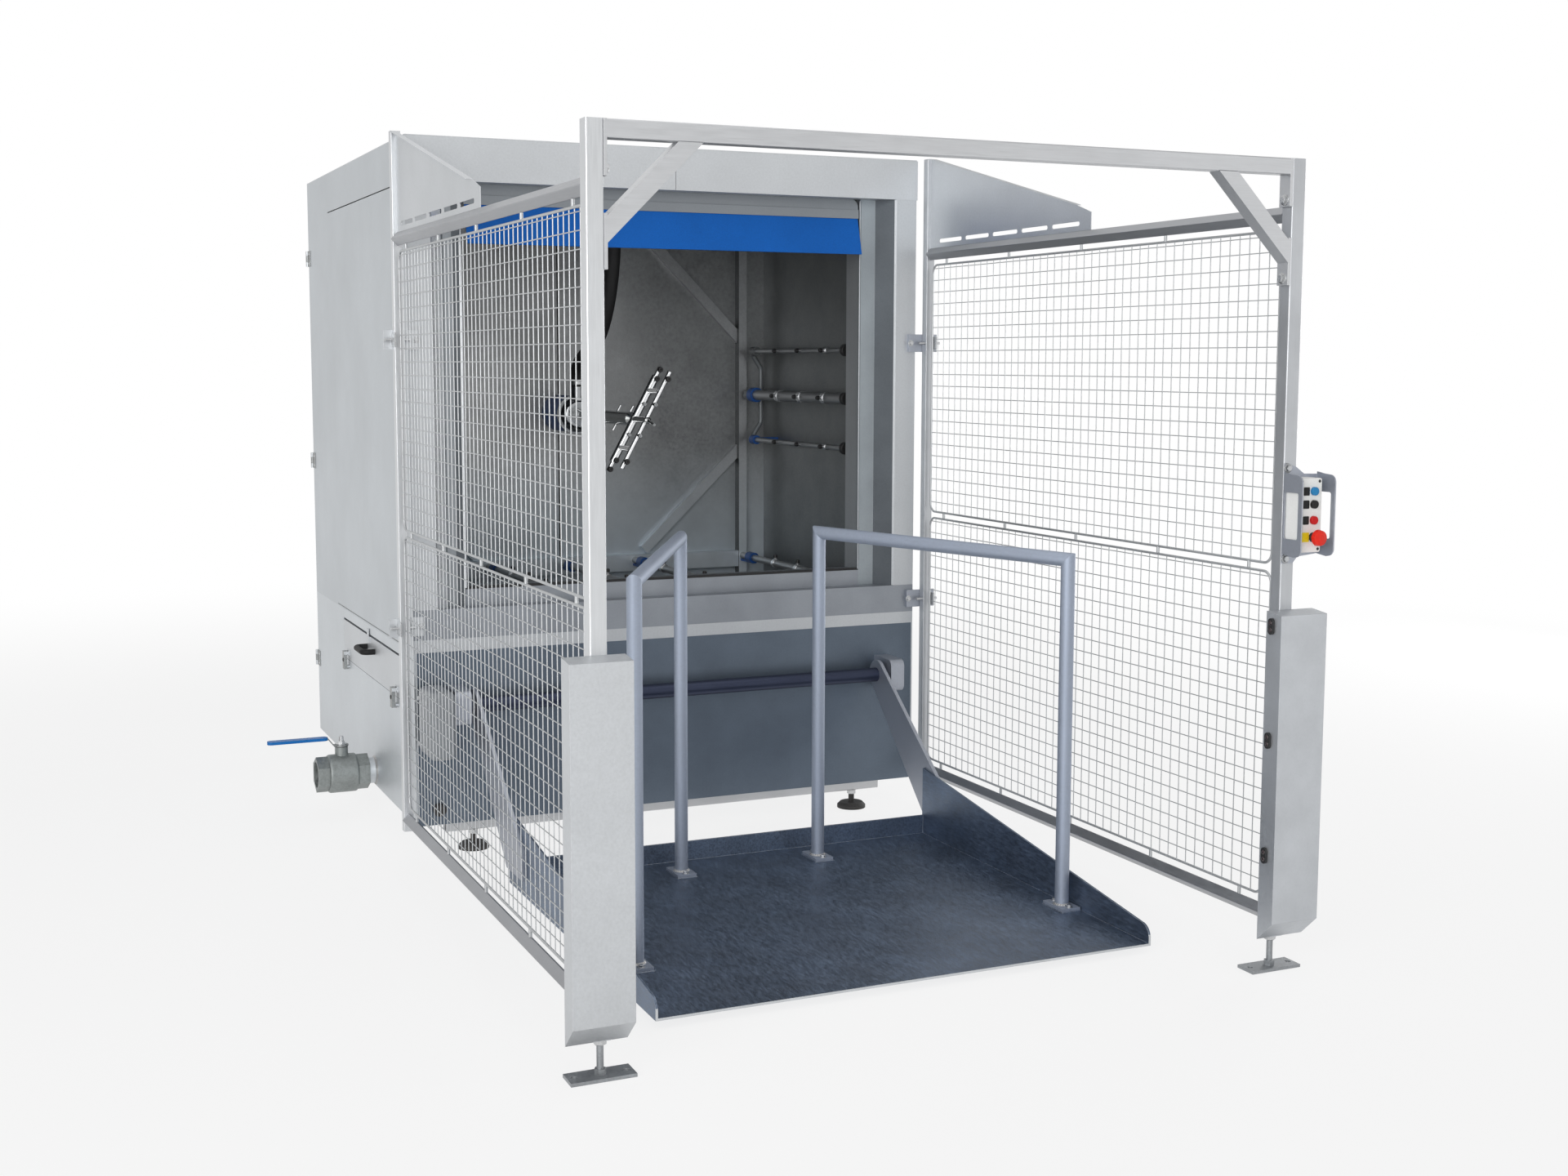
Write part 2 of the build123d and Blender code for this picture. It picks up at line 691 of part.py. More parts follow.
def sump_tank():
    """Welded tank with a rim for the walls, skirts round the pump room, drawer opening and drain stub."""
    front, back = CABIN_Y[0], CABIN_Y[1] - SHEET
    low, high = TANK_Z
    width = (-CABIN_HALF, CABIN_HALF)
    tank = block(width, (front, back), (low, low + SHEET))
    tank += block(width, (front, front + SHEET), TANK_Z)
    tank += block(width, (BACK_WALL_Y, BACK_WALL_Y + SHEET), TANK_Z)
    for side in pair(block((CABIN_HALF - SHEET, CABIN_HALF), (front, back), TANK_Z)):
        tank += side
    for rim in pair(block((CABIN_HALF - RIM, CABIN_HALF), (front, BACK_WALL_Y), (high - SHEET, high))):
        tank += rim
    ledge_z = (BASKET_Z[0] - SHEET, BASKET_Z[0] - BUTTON_GAP)
    for edge in (DRAWER_Y[0] - BASKET_MARGIN, DRAWER_Y[1] + BASKET_MARGIN - LEDGE):
        tank += block((SHEET - CABIN_HALF, BASKET_X[1]), (edge, edge + LEDGE), ledge_z)
    tank -= block((-CABIN_HALF, 2 * SHEET - CABIN_HALF), DRAWER_Y, DRAWER_Z)
    for place in LATCH_PLACES.values():
        keeper_x = (-CABIN_HALF - KEEPER_PROUD, -CABIN_HALF)
        tank += block(keeper_x, about(place, LATCH_WIDTH), KEEPER_Z)
    tank += drain_rod(STUB_X, -CABIN_HALF, DRAIN_PIPE)
    return tank - drain_rod(STUB_X, SHEET - CABIN_HALF, DRAIN_BORE)


def levelling_foot():
    """Rubber pad with a threaded stem, on its own axis."""
    top = TANK_Z[0] - BASE_BAR
    pad = 2 * FOOT_STEM
    profile = [(0, 0), (FOOT_PAD, 0), (FOOT_PAD, pad / 2), (FOOT_PAD - FOOT_STEM, pad),
               (FOOT_STEM, pad), (FOOT_STEM, top), (0, top)]
    return turned(profile, "Z")


def base_bar(row):
    """Cross bar under the tank between a pair of feet."""
    height = TANK_Z[0] - BASE_BAR / 2
    return square_tube((-BASE_BAR_HALF, row, height), (BASE_BAR_HALF, row, height),
                       BASE_BAR, POST_WALL, POST_CORNER)


def chamber_back_wall():
    """Back wall of the chamber with the hole for the rotor."""
    half = CABIN_HALF - SHEET
    wall = block((-half, half), (BACK_WALL_Y, BACK_WALL_Y + SHEET), (TANK_Z[1], CABIN_TOP - SHEET))
    return wall - rod((0, BACK_WALL_Y, AXIS_Z), (0, BACK_WALL_Y + SHEET, AXIS_Z), ROTOR + SHEET)


def corner_post():
    """Folded channel in the right back corner of the chamber."""
    inner, outer = CORNER_POST_X
    front = BACK_WALL_Y - CORNER_POST_DEPTH
    bends = [(inner, BACK_WALL_Y), (inner, front), (outer, front), (outer, BACK_WALL_Y)]
    return prism_z(folded(bends, SHEET), (TANK_Z[1], CABIN_TOP - SHEET))


def back_rail():
    """Folded channel along the foot of the chamber's back wall, between the corner posts."""
    front = BACK_WALL_Y - CORNER_POST_DEPTH
    low, high = BACK_RAIL_Z
    bends = [(BACK_WALL_Y, high), (front, high), (front, low), (BACK_WALL_Y, low)]
    return prism_x(folded(bends, SHEET), (-CORNER_POST_X[0], CORNER_POST_X[0]))


def wall_brace(start, end):
    """Bar across the back wall, cut flush where it meets the corner post."""
    along = (Vector(*end) - Vector(*start)).normalized()
    across = Vector(-along.Y, along.X) * (BRACE / 2)
    first, last = Vector(*start) - along * BRACE, Vector(*end)
    corners = [first + across, last + across, last - across, first - across]
    bar = prism_y([(corner.X, corner.Y) for corner in corners], (BACK_WALL_Y - BRACE_THICK, BACK_WALL_Y))
    return bar & block((0, CORNER_POST_X[0]), (0, CABIN_Y[1]), (0, CABIN_TOP))


# Spray pipes

def side_spray_bar():
    """Right spray bar: two small pipes joined by a bow, the large feed pipe teed into it, and jets."""
    low, middle, high = SPRAY_HEIGHTS
    out = SPRAY_X + BOW_REACH
    bow = [(SPRAY_X, SPRAY_Y, high), (SPRAY_X, BOW_Y, high), (out, BOW_Y, high - BOW_SLANT),
           (out, BOW_Y, low + BOW_SLANT), (SPRAY_X, BOW_Y, low), (SPRAY_X, SPRAY_Y, low)]
    bar = bent_rod(bow, SPRAY_SMALL, BOW_BEND)
    bar += rod((SPRAY_X, SPRAY_Y, middle), (SPRAY_X, LARGE_END, middle), SPRAY_LARGE)
    bar += rod((SPRAY_X, BOW_Y, middle), (out, BOW_Y, middle), BOW_TEE)
    for height, radius in zip(SPRAY_HEIGHTS, (SPRAY_SMALL, SPRAY_LARGE, SPRAY_SMALL)):
        for place in JET_PLACES:
            tip = SPRAY_X - radius - JET_LENGTH
            bar += rod((SPRAY_X, place, height), (tip, place, height), JET)
    return bar


def end_caps():
    """Plastic caps on the front ends of the right spray bar."""
    caps = []
    for height, radius in zip(SPRAY_HEIGHTS, (CAP_SMALL, CAP_LARGE, CAP_SMALL)):
        cap = rod((SPRAY_X, SPRAY_Y - CAP_LENGTH, height), (SPRAY_X, SPRAY_Y, height), radius)
        caps.append(fillet(cap.edges().group_by(Axis.Y)[0], JET / 2))
    return caps


def floor_spray_pipes():
    """Pipes over the tank with upward jets, and the bar that carries their front ends."""
    pipes = []
    end = BACK_WALL_Y - CORNER_POST_DEPTH
    for x in FLOOR_PIPE_X:
        pipe = rod((x, FLOOR_PIPE_Y, FLOOR_PIPE_Z), (x, end, FLOOR_PIPE_Z), FLOOR_PIPE)
        for place in JET_PLACES:
            top = FLOOR_PIPE_Z + FLOOR_PIPE + JET_LENGTH
            pipe += rod((x, place, FLOOR_PIPE_Z), (x, place, top), JET)
        pipes.append(pipe)
    under = FLOOR_PIPE_Z - FLOOR_PIPE
    half = CABIN_HALF - SHEET
    pipes.append(block((-half, half), SUPPORT_Y, (under - BASE_BAR, under)))
    return pipes


def ring_clamp(x, z, y, radius, stem):
    """Two-part clamp ring round a pipe along Y, with a stem to the wall that carries it."""
    outer = radius + CLAMP_WALL
    ring = rod((x, y[0], z), (x, y[1], z), outer) + stem
    return ring - rod((x, y[0], z), (x, y[1], z), radius + CLAMP_GAP)


def pipe_clamps():
    """Clamps on the side walls, on straps from the back rail and posts, and under the roof."""
    clamps = []
    wall = CABIN_HALF - SHEET
    for height, radius in zip(SPRAY_HEIGHTS, (SPRAY_SMALL, SPRAY_LARGE, SPRAY_SMALL)):
        stem = block((SPRAY_X + radius, wall), CLAMP_Y, about(height, CLAMP_STEM))
        clamps += pair(ring_clamp(SPRAY_X, height, CLAMP_Y, radius, stem))
    under = FLOOR_PIPE_Z - FLOOR_PIPE - CLAMP_GAP
    strap_y = (FLOOR_CLAMP_Y[0], BACK_WALL_Y - CORNER_POST_DEPTH)
    for x in FLOOR_PIPE_X:
        strap = block(about(x, CLAMP_STEM), strap_y, (under - CLAMP_WALL, under))
        clamps.append(ring_clamp(x, FLOOR_PIPE_Z, FLOOR_CLAMP_Y, FLOOR_PIPE, strap))
    hanger_y = about(ROOF_FEED_Y + 2 * FEED_BEND, CLAMP_Y[1] - CLAMP_Y[0])
    hanger = block(about(0, CLAMP_STEM), hanger_y, (ROOF_FEED_Z + ROOF_FEED, CABIN_TOP - SHEET))
    clamps.append(ring_clamp(0, ROOF_FEED_Z, hanger_y, ROOF_FEED, hanger))
    return clamps


def hub_flange():
    """Drum that carries the hub from the back wall."""
    ring = rod((0, HUB_FLANGE_Y, AXIS_Z), (0, BACK_WALL_Y, AXIS_Z), HUB_FLANGE)
    ring = fillet(ring.edges().group_by(Axis.Y)[0], SHEET)
    return ring - rod((0, HUB_FLANGE_Y, AXIS_Z), (0, BACK_WALL_Y, AXIS_Z), ROTOR + SHEET)


def hub_housing():
    """Domed bearing housing with a rim and, on its top, a socket for the hose."""
    length = HUB_FLANGE_Y - HUB_FRONT
    dome = rod((0, HUB_FRONT, AXIS_Z), (0, HUB_FLANGE_Y, AXIS_Z), HUB)
    dome = fillet(dome.edges().group_by(Axis.Y)[0], length / 2)
    boss = rod((0, HUB_BOSS_Y, AXIS_Z), (0, HUB_BOSS_Y, HUB_BOSS_TOP), HUB_BOSS)
    bore = rod((0, HUB_FRONT, AXIS_Z), (0, HUB_FLANGE_Y, AXIS_Z), ROTOR + RUN_GAP)
    rim = rod((0, HUB_RIM_Y, AXIS_Z), (0, HUB_FLANGE_Y, AXIS_Z), HUB_RIM)
    return dome + rim + boss - bore


def rotor_pipe():
    """Main pipe of the rotor with its drive tail, neck, bent front spike and side jets."""
    neck_start, neck_end = ROTOR_NECK_Y
    profile = [(0, TAIL_Y[1]), (TAIL, TAIL_Y[1]), (TAIL, TAIL_Y[0]), (ROTOR, TAIL_Y[0]), (ROTOR, neck_start + ROTOR_NECK),
               (ROTOR_NECK, neck_start), (ROTOR_NECK, neck_end), (SPIKE, neck_end - SPIKE),
               (0, neck_end - SPIKE)]
    pipe = Pos(0, 0, AXIS_Z) * turned(profile, "Y")
    pipe += rod((0, neck_end, AXIS_Z), (0, SPIKE_Y, AXIS_Z - SPIKE_DROP), SPIKE)
    reach = ROTOR + PIPE_JET_LENGTH
    for place, turn in PIPE_JETS:
        turn = math.radians(ARM_TILT + turn)
        tip = (reach * math.sin(turn), place, AXIS_Z + reach * math.cos(turn))
        pipe += rod((0, place, AXIS_Z), tip, PIPE_JET)
    return pipe


def rotor_arms():
    """Two parallel cross arms joined by links, cut to seat on the main pipe, with jets forward."""
    tilt = math.radians(ARM_TILT)

    def point(reach, y):
        return reach * math.sin(tilt), y, AXIS_Z + reach * math.cos(tilt)

    (rear, _), (front, _) = ARM_ROWS
    halves = []
    for sign in (-1, 1):
        half = rod(point(sign * ARM_LINK_REACH, front), point(sign * ARM_LINK_REACH, rear), ARM_LINK)
        for y, lengths in ARM_ROWS:
            for radius, length in lengths:
                half += rod(point(0, y), point(sign * length, y), radius)
            tip = y - lengths[0][0] - JET_LENGTH
            for reach in ARM_JET_REACH:
                half += rod(point(sign * reach, y), point(sign * reach, tip), JET)
        halves.append(half - rod((0, rear + ROTOR, AXIS_Z), (0, ROTOR_NECK_Y[0], AXIS_Z), ROTOR)
                      - rod((0, ROTOR_NECK_Y[0], AXIS_Z), (0, ROTOR_NECK_Y[1], AXIS_Z), ROTOR_NECK))
    return halves


def feed_hose():
    """Black hose from the roof feed down and back to the hub: straight runs and the largest tangent arcs."""
    points = [Vector(*point) for point in HOSE_ROUTE]
    radii = []
    for before, corner, after in zip(points, points[1:], points[2:]):
        turn = (corner - before).get_angle(after - corner)
        run = min((corner - before).length, (after - corner).length)
        radii.append(HOSE_ARC_SHARE * run / math.tan(math.radians(turn / 2)))
    print("hose radii", [round(radius) for radius in radii])
    return bent_rod(HOSE_ROUTE, HOSE, radii)


# Pump room

def finned_motor(length, radius):
    """Fan-cooled motor along +X: core with fins, fan cowl and a terminal box on top."""
    core = radius * MOTOR_CORE
    finned = length * MOTOR_COWL
    motor = rod((0, 0, 0), (length, 0, 0), core)
    cowl = rod((finned, 0, 0), (length, 0, 0), radius)
    motor += fillet(cowl.edges().group_by(Axis.X)[-1], 2 * MOTOR_FIN)
    fin = block((MOTOR_FIN, finned - MOTOR_FIN), about(0, MOTOR_FIN), (core - MOTOR_FIN, radius))
    for i in range(MOTOR_FINS):
        motor += Rot(360 * i / MOTOR_FINS, 0, 0) * fin
    start, end, top = TERMINAL_BOX
    return motor + block((start * length, end * length), about(0, radius), (core / 2, top * radius))


def wash_pump():
    """Centrifugal pump: round case with inlet and outlet necks, and its motor on a foot."""
    floor = TANK_Z[0] + SHEET
    half = PUMP_CASE_HALF
    case = rod((-half, PUMP_Y, PUMP_Z), (half, PUMP_Y, PUMP_Z), PUMP_CASE)
    case = fillet(case.edges(), half / 3)
    case += rod((0, PUMP_Y, PUMP_Z), (0, PUMP_Y, PUMP_OUTLET_Z), RISER + SHEET)
    case += rod((-half, PUMP_Y, PUMP_Z), (PUMP_INLET_X, PUMP_Y, PUMP_Z), SUCTION + SHEET)
    motor = Pos(half, PUMP_Y, PUMP_Z) * finned_motor(PUMP_MOTOR_END - half, PUMP_MOTOR)
    motor += block((2 * half, 4 * half), about(PUMP_Y, PUMP_MOTOR), (floor, PUMP_Z))
    return [case, motor]


def pump_pipes():
    """Suction pipe from the tank, riser to the chamber's top, and the feed pipe under the roof."""
    wall = BACK_WALL_Y + SHEET
    from_tank = [(SUCTION_X, wall, PUMP_Z), (SUCTION_X, PUMP_Y, PUMP_Z), (PUMP_INLET_X, PUMP_Y, PUMP_Z)]
    up = [(0, PUMP_Y, PUMP_OUTLET_Z), (0, PUMP_Y, ROOF_FEED_Z), (0, wall, ROOF_FEED_Z)]
    to_hose = [(0, BACK_WALL_Y, ROOF_FEED_Z), (0, ROOF_FEED_Y, ROOF_FEED_Z), HOSE_ROUTE[0]]
    suction = bent_rod(from_tank, SUCTION, SUCTION_BEND)
    riser = bent_rod(up, RISER, SUCTION_BEND)
    return [suction, riser, bent_rod(to_hose, ROOF_FEED, FEED_BEND)]


def rotor_drive():
    """Right-angle gearmotor that turns the rotor's tail behind the back wall."""
    start, end = DRIVE_CASE_Y
    case = block(about(0, 2 * DRIVE_CASE), DRIVE_CASE_Y, about(AXIS_Z, 2 * DRIVE_CASE))
    case = fillet(case.edges().filter_by(Axis.Y), STATION_CORNER * 2)
    middle = (start + end) / 2
    case += Pos(DRIVE_CASE, middle, AXIS_Z) * finned_motor(DRIVE_MOTOR_END - DRIVE_CASE, DRIVE_MOTOR)
    case -= rod((0, start, AXIS_Z), (0, TAIL_Y[0] + SHEET, AXIS_Z), ROTOR + SHEET)
    return case - rod((0, start, AXIS_Z), (0, end, AXIS_Z), TAIL + RUN_GAP)


def rear_door():
    """Right rear door: pan with returns, hinge leaves with pins, and a bow pull."""
    x = (DOOR_GAP, CABIN_HALF - SHEET - DOOR_GAP)
    face = CABIN_Y[1]
    y = (face - SHEET - DOOR_RETURN, face)
    door = block(x, y, DOOR_Z)
    door -= block((x[0] + SHEET, x[1] - SHEET), (y[0], face - SHEET), (DOOR_Z[0] + SHEET, DOOR_Z[1] - SHEET))
    axis_x, axis_y = HINGE_AXIS
    for height in HINGE_HEIGHTS:
        low, high = about(height, HINGE_TALL)
        door += block((DOOR_LEAF_X, x[1]), (face, face + SHEET), (low, high))
        middle = KNUCKLE_HALF + BUTTON_GAP
        for knuckle_z in ((low, height - middle), (height + middle, high)):
            door += block((DOOR_LEAF_X, axis_x), (face, face + SHEET), knuckle_z)
            door += rod((axis_x, axis_y, knuckle_z[0]), (axis_x, axis_y, knuckle_z[1]), KNUCKLE)
        door += rod((axis_x, axis_y, low), (axis_x, axis_y, high), HINGE_PIN)
    pull_x, pull_z = PULL_PLACE
    low, high = about(pull_z, PULL_LENGTH)
    out = face + PULL_PROUD
    bow = [(pull_x, face, low), (pull_x, out, low), (pull_x, out, high), (pull_x, face, high)]
    return door + bent_rod(bow, PULL, PULL * 2)


def door_hinge(height):
    """Fixed half of a hinge: leaf on the right wall and the middle knuckle."""
    axis_x, axis_y = HINGE_AXIS
    leaf_x = (CABIN_HALF, CABIN_HALF + SHEET)
    short = axis_y - KNUCKLE - BUTTON_GAP
    hinge = block(leaf_x, (HINGE_LEAF_Y, short), about(height, HINGE_TALL))
    hinge += block(leaf_x, (HINGE_LEAF_Y, axis_y), about(height, 2 * KNUCKLE_HALF))
    low, high = about(height, 2 * KNUCKLE_HALF)
    hinge += rod((axis_x, axis_y, low), (axis_x, axis_y, high), KNUCKLE)
    return hinge - rod((axis_x, axis_y, low), (axis_x, axis_y, high), HINGE_PIN + RUN_GAP)


# Filter drawer

def drawer_front():
    """Pan that fills the drawer opening below its top gap, with a catch and a base plate for each latch."""
    skin = (-CABIN_HALF, SHEET - CABIN_HALF)
    y = (DRAWER_Y[0] + DOOR_GAP, DRAWER_Y[1] - DOOR_GAP)
    z = (DRAWER_Z[0] + DOOR_GAP, DRAWER_Z[1] - DRAWER_TOP_GAP)
    front = block(skin, y, z)
    lip = (-CABIN_HALF, BASKET_X[0])
    front += block(lip, y, (z[1] - SHEET, z[1]))
    catch_y = about(CATCH_Y, CATCH_WIDTH)
    front += block((-CABIN_HALF - SHEET, -CABIN_HALF), catch_y, (CATCH_Z[0], z[1]))
    front += block((-CABIN_HALF - 2 * SHEET, -CABIN_HALF - SHEET), catch_y, CATCH_Z)
    pivot_x, pivot_z = LATCH_PIVOT
    cheek_x = (pivot_x - 2 * LATCH_PIN, -CABIN_HALF)
    for place in LATCH_PLACES.values():
        start, end = about(place, LATCH_WIDTH)
        front += block((-CABIN_HALF - SHEET, -CABIN_HALF), (start, end), about(pivot_z, DRAWER_RETURN))
        for cheek in (start, end - SHEET):
            front += block(cheek_x, (cheek, cheek + SHEET), about(pivot_z, 4 * LATCH_PIN))
        front += rod((pivot_x, start, pivot_z), (pivot_x, end, pivot_z), LATCH_PIN)
    return front


def filter_basket():
    """Open tray behind the drawer front with rows of slots in its floor."""
    y = (DRAWER_Y[0] + BASKET_MARGIN, DRAWER_Y[1] - BASKET_MARGIN)
    tray = block(BASKET_X, y, BASKET_Z)
    inside_x = (BASKET_X[0] + SHEET, BASKET_X[1] - SHEET)
    tray -= block(inside_x, (y[0] + SHEET, y[1] - SHEET), (BASKET_Z[0] + SHEET, BASKET_Z[1]))
    width, length = BASKET_SLOT
    step = (y[1] - y[0]) / BASKET_SLOTS
    middle = (BASKET_X[0] + BASKET_X[1]) / 2
    for i in range(BASKET_SLOTS):
        place = y[0] + (i + 0.5) * step
        tray -= block(about(middle, length), about(place, width), (BASKET_Z[0], BASKET_Z[0] + SHEET))
    hook = block((SHEET - CABIN_HALF, BASKET_X[0]), y, (BASKET_Z[1] - DRAWER_RETURN, BASKET_Z[1]))
    return tray + hook


def drawer_handle():
    """Black bow handle in the middle of the drawer front."""
    low, high = about(HANDLE_Y, HANDLE_LENGTH)
    wall, out = -CABIN_HALF, -CABIN_HALF - HANDLE_PROUD
    bow = [(wall, low, HANDLE_Z), (out, low, HANDLE_Z), (out, high, HANDLE_Z), (wall, high, HANDLE_Z)]
    return bent_rod(bow, HANDLE_BAR, HANDLE_BEND)


def latch_lever(place):
    """Draw-latch lever on its pin, with a toe that grips under the keeper on the tank."""
    pivot_x, pivot_z = LATCH_PIVOT
    gap = SHEET + BUTTON_GAP
    y = about(place, LATCH_WIDTH - 2 * gap)
    outer = pivot_x - 2 * LATCH_PIN
    inner = -CABIN_HALF - KEEPER_PROUD - BUTTON_GAP
    low, high = LATCH_TOE_Z
    top = pivot_z + 2 * LATCH_PIN
    outline = [(outer, top), (inner, top), (inner, high),
               (inner + KEEPER_PROUD - SHEET, high), (inner + KEEPER_PROUD - SHEET, low), (outer, low)]
    lever = prism_y(outline, y)
    return lever - rod((pivot_x, y[0], pivot_z), (pivot_x, y[1], pivot_z), LATCH_PIN + RUN_GAP)


# Drain valve

def drain_rod(start, end, radius):
    """Round bar along the drain's axis."""
    return rod((start, DRAIN_Y, DRAIN_Z), (end, DRAIN_Y, DRAIN_Z), radius)


def drain_valve_body():
    """Ball valve body: hexagon ends, round middle, stem neck, and a hollow for the ball."""
    inlet_x, outlet_x = STUB_X - VALVE_END, VALVE_END_X + VALVE_END
    barrel = drain_rod(outlet_x, inlet_x, VALVE_BODY)
    body = fillet(barrel.edges(), VALVE_END / 4)
    hexagon = RegularPolygon(VALVE_FLATS / math.sqrt(3), 6)
    for x in (VALVE_END_X, inlet_x):
        end = Plane(origin=(x, DRAIN_Y, DRAIN_Z), x_dir=(0, 0, 1), z_dir=(1, 0, 0))
        body += extrude(end * hexagon, amount=VALVE_END)
    body += rod((VALVE_X, DRAIN_Y, DRAIN_Z), (VALVE_X, DRAIN_Y, NECK_TOP), NECK)
    body -= drain_rod(VALVE_END_X, STUB_X, DRAIN_BORE)
    body -= drain_rod(VALVE_END_X, VALVE_END_X + OUTLET_DEPTH, OUTLET_THREAD)
    body -= rod((VALVE_X, DRAIN_Y, DRAIN_Z), (VALVE_X, DRAIN_Y, NECK_TOP), STEM + RUN_GAP)
    return body - Pos(VALVE_X, DRAIN_Y, DRAIN_Z) * Sphere(BALL + BALL_GAP)


def drain_valve_ball():
    """Bored ball with its stem."""
    ball = Pos(VALVE_X, DRAIN_Y, DRAIN_Z) * Sphere(BALL)
    ball += rod((VALVE_X, DRAIN_Y, DRAIN_Z), (VALVE_X, DRAIN_Y, LEVER_EYE_Z[0]), STEM)
    return ball - drain_rod(VALVE_X - BALL, VALVE_X + BALL, DRAIN_BORE)


def drain_valve_lever():
    """Lever on the stem: round eye, shank cranked upwards and a grip with a rounded tip."""
    eye_low, eye_high = LEVER_EYE_Z
    near, far = LEVER_CRANK_X
    grip = block((LEVER_TIP_X, far), about(DRAIN_Y, LEVER_WIDTH), LEVER_Z)
    grip = fillet(grip.edges().filter_by(Axis.Z), LEVER_CORNER)
    low, high = about(sum(LEVER_Z) / 2, eye_high - eye_low)
    inside = far - LEVER_WIDTH
    outline = [(VALVE_X, eye_high), (near, eye_high), (far, high), (inside, high),
               (inside, low), (far, low), (near, eye_low), (VALVE_X, eye_low)]
    shank = prism_y(outline, about(DRAIN_Y, LEVER_WAIST))
    eye = rod((VALVE_X, DRAIN_Y, eye_low), (VALVE_X, DRAIN_Y, eye_high), LEVER_WAIST)
    return grip + shank + eye


# Cradle

def platform():
    """Folded pan: floor, side flanges with rounded front corners, low rear flange, pads for the loops."""
    front, back = PLATFORM_Y
    low, floor = PLATFORM_Z
    pan = block((-PLATFORM_HALF, PLATFORM_HALF), PLATFORM_Y, PLATFORM_Z)
    outline = [(front, low), (front, FLANGE_FRONT), (back, FLANGE_REAR), (back, low)]
    flange = prism_x(outline, (PLATFORM_HALF - FLANGE, PLATFORM_HALF))
    nose = flange.edges().filter_by(Axis.X).sort_by_distance((PLATFORM_HALF, front, FLANGE_FRONT))[0]
    flange = fillet(nose, FLANGE_CORNER)
    for side in pair(flange):
        pan += side
    length, width, thick = LOOP_PAD
    for x, y, _ in (LOOP_FRONT, LOOP_REAR):
        for place in (LOOP_MIDDLE - x, LOOP_MIDDLE + x):
            pan += block(about(place, length), about(y, width), (floor, floor + thick))
    return pan + block((-PLATFORM_HALF, PLATFORM_HALF), (back - FLANGE, back), (low, REAR_FLANGE_TOP))


def cradle_arm():
    """Right arm: plate from the platform's flange to an eye on the torque tube."""
    x = (PLATFORM_HALF, PLATFORM_HALF + ARM_PLATE)
    front, back = ARM_FOOT_Y
    low, high = ARM_FOOT_Z
    foot = Vector((front + back) / 2, (low + high) / 2)
    hub = Vector(AXLE_Y, AXLE_Z)
    along = (hub - foot).normalized()
    across = Vector(-along.Y, along.X) * ARM_HUB
    upper, lower = hub + across, hub - across
    arm = prism_x([(front, low), (back, low), (lower.X, lower.Y), (upper.X, upper.Y), (front, high)], x)
    arm += rod((x[0], AXLE_Y, AXLE_Z), (x[1], AXLE_Y, AXLE_Z), ARM_HUB)
    return arm - rod((x[0], AXLE_Y, AXLE_Z), (x[1], AXLE_Y, AXLE_Z), AXLE)


def mitred_tubes(corners, radius, bore):
    """Straight tubes from corner to corner, cut on the plane halfway between each tube and the next."""
    ends = [Vector(*corner) for corner in corners]
    ways = [(end - start).normalized() for start, end in zip(ends, ends[1:])]
    cuts = [Plane(origin=ends[i + 1], z_dir=ways[i] + ways[i + 1]) for i in range(len(ways) - 1)]
    tubes = []
    for i, way in enumerate(ways):
        spare = way * (2 * radius)
        start = ends[i] - spare if i > 0 else ends[i]
        end = ends[i + 1] + spare if i < len(cuts) else ends[i + 1]
        tube = rod(start, end, radius) - rod(start, end, bore)
        if i > 0:
            tube = split(tube, bisect_by=cuts[i - 1], keep=Keep.TOP)
        if i < len(cuts):
            tube = split(tube, bisect_by=cuts[i], keep=Keep.BOTTOM)
        tubes.append(tube)
    return tubes


def retaining_loop():
    """Right loop from the middle of the pair: three mitred tubes that stand on two foot plates."""
    floor = PLATFORM_Z[1] + LOOP_PAD[2]
    length, width, thick = LOOP_FOOT
    feet = [(x, y, floor + thick) for x, y, _ in (LOOP_FRONT, LOOP_REAR)]
    pieces = mitred_tubes([feet[0], LOOP_FRONT, LOOP_REAR, feet[1]], LOOP_TUBE, LOOP_BORE)
    pieces += [block(about(x, length), about(y, width), (floor, top)) for x, y, top in feet]
    return pieces


def cradle_bearing():
    """Right bearing block on the front of the tank."""
    bearing = block(BEARING_X, (BEARING_Y, CABIN_Y[0]), BEARING_Z)
    nose = bearing.edges().filter_by(Axis.X).group_by(Axis.Y)[0]
    bearing = fillet(nose, BEARING_CORNER)
    return bearing - rod((BEARING_X[0], AXLE_Y, AXLE_Z), (BEARING_X[1], AXLE_Y, AXLE_Z), AXLE + RUN_GAP)


def tilt_gearmotor():
    """Rounded gearmotor housing on the left end of the torque tube, seated on the tank."""
    case = block(MOTOR_X, MOTOR_Y, MOTOR_Z)
    case = fillet(case.edges(), MOTOR_CORNER)
    seat_x = (MOTOR_X[0] + MOTOR_CORNER, MOTOR_X[1] - MOTOR_CORNER)
    case += block(seat_x, (MOTOR_Y[1] - MOTOR_CORNER, CABIN_Y[0]), MOTOR_SEAT_Z)
    return case - rod((MOTOR_X[1], AXLE_Y, AXLE_Z), (AXLE_X[0] - SHEET, AXLE_Y, AXLE_Z), AXLE + RUN_GAP)


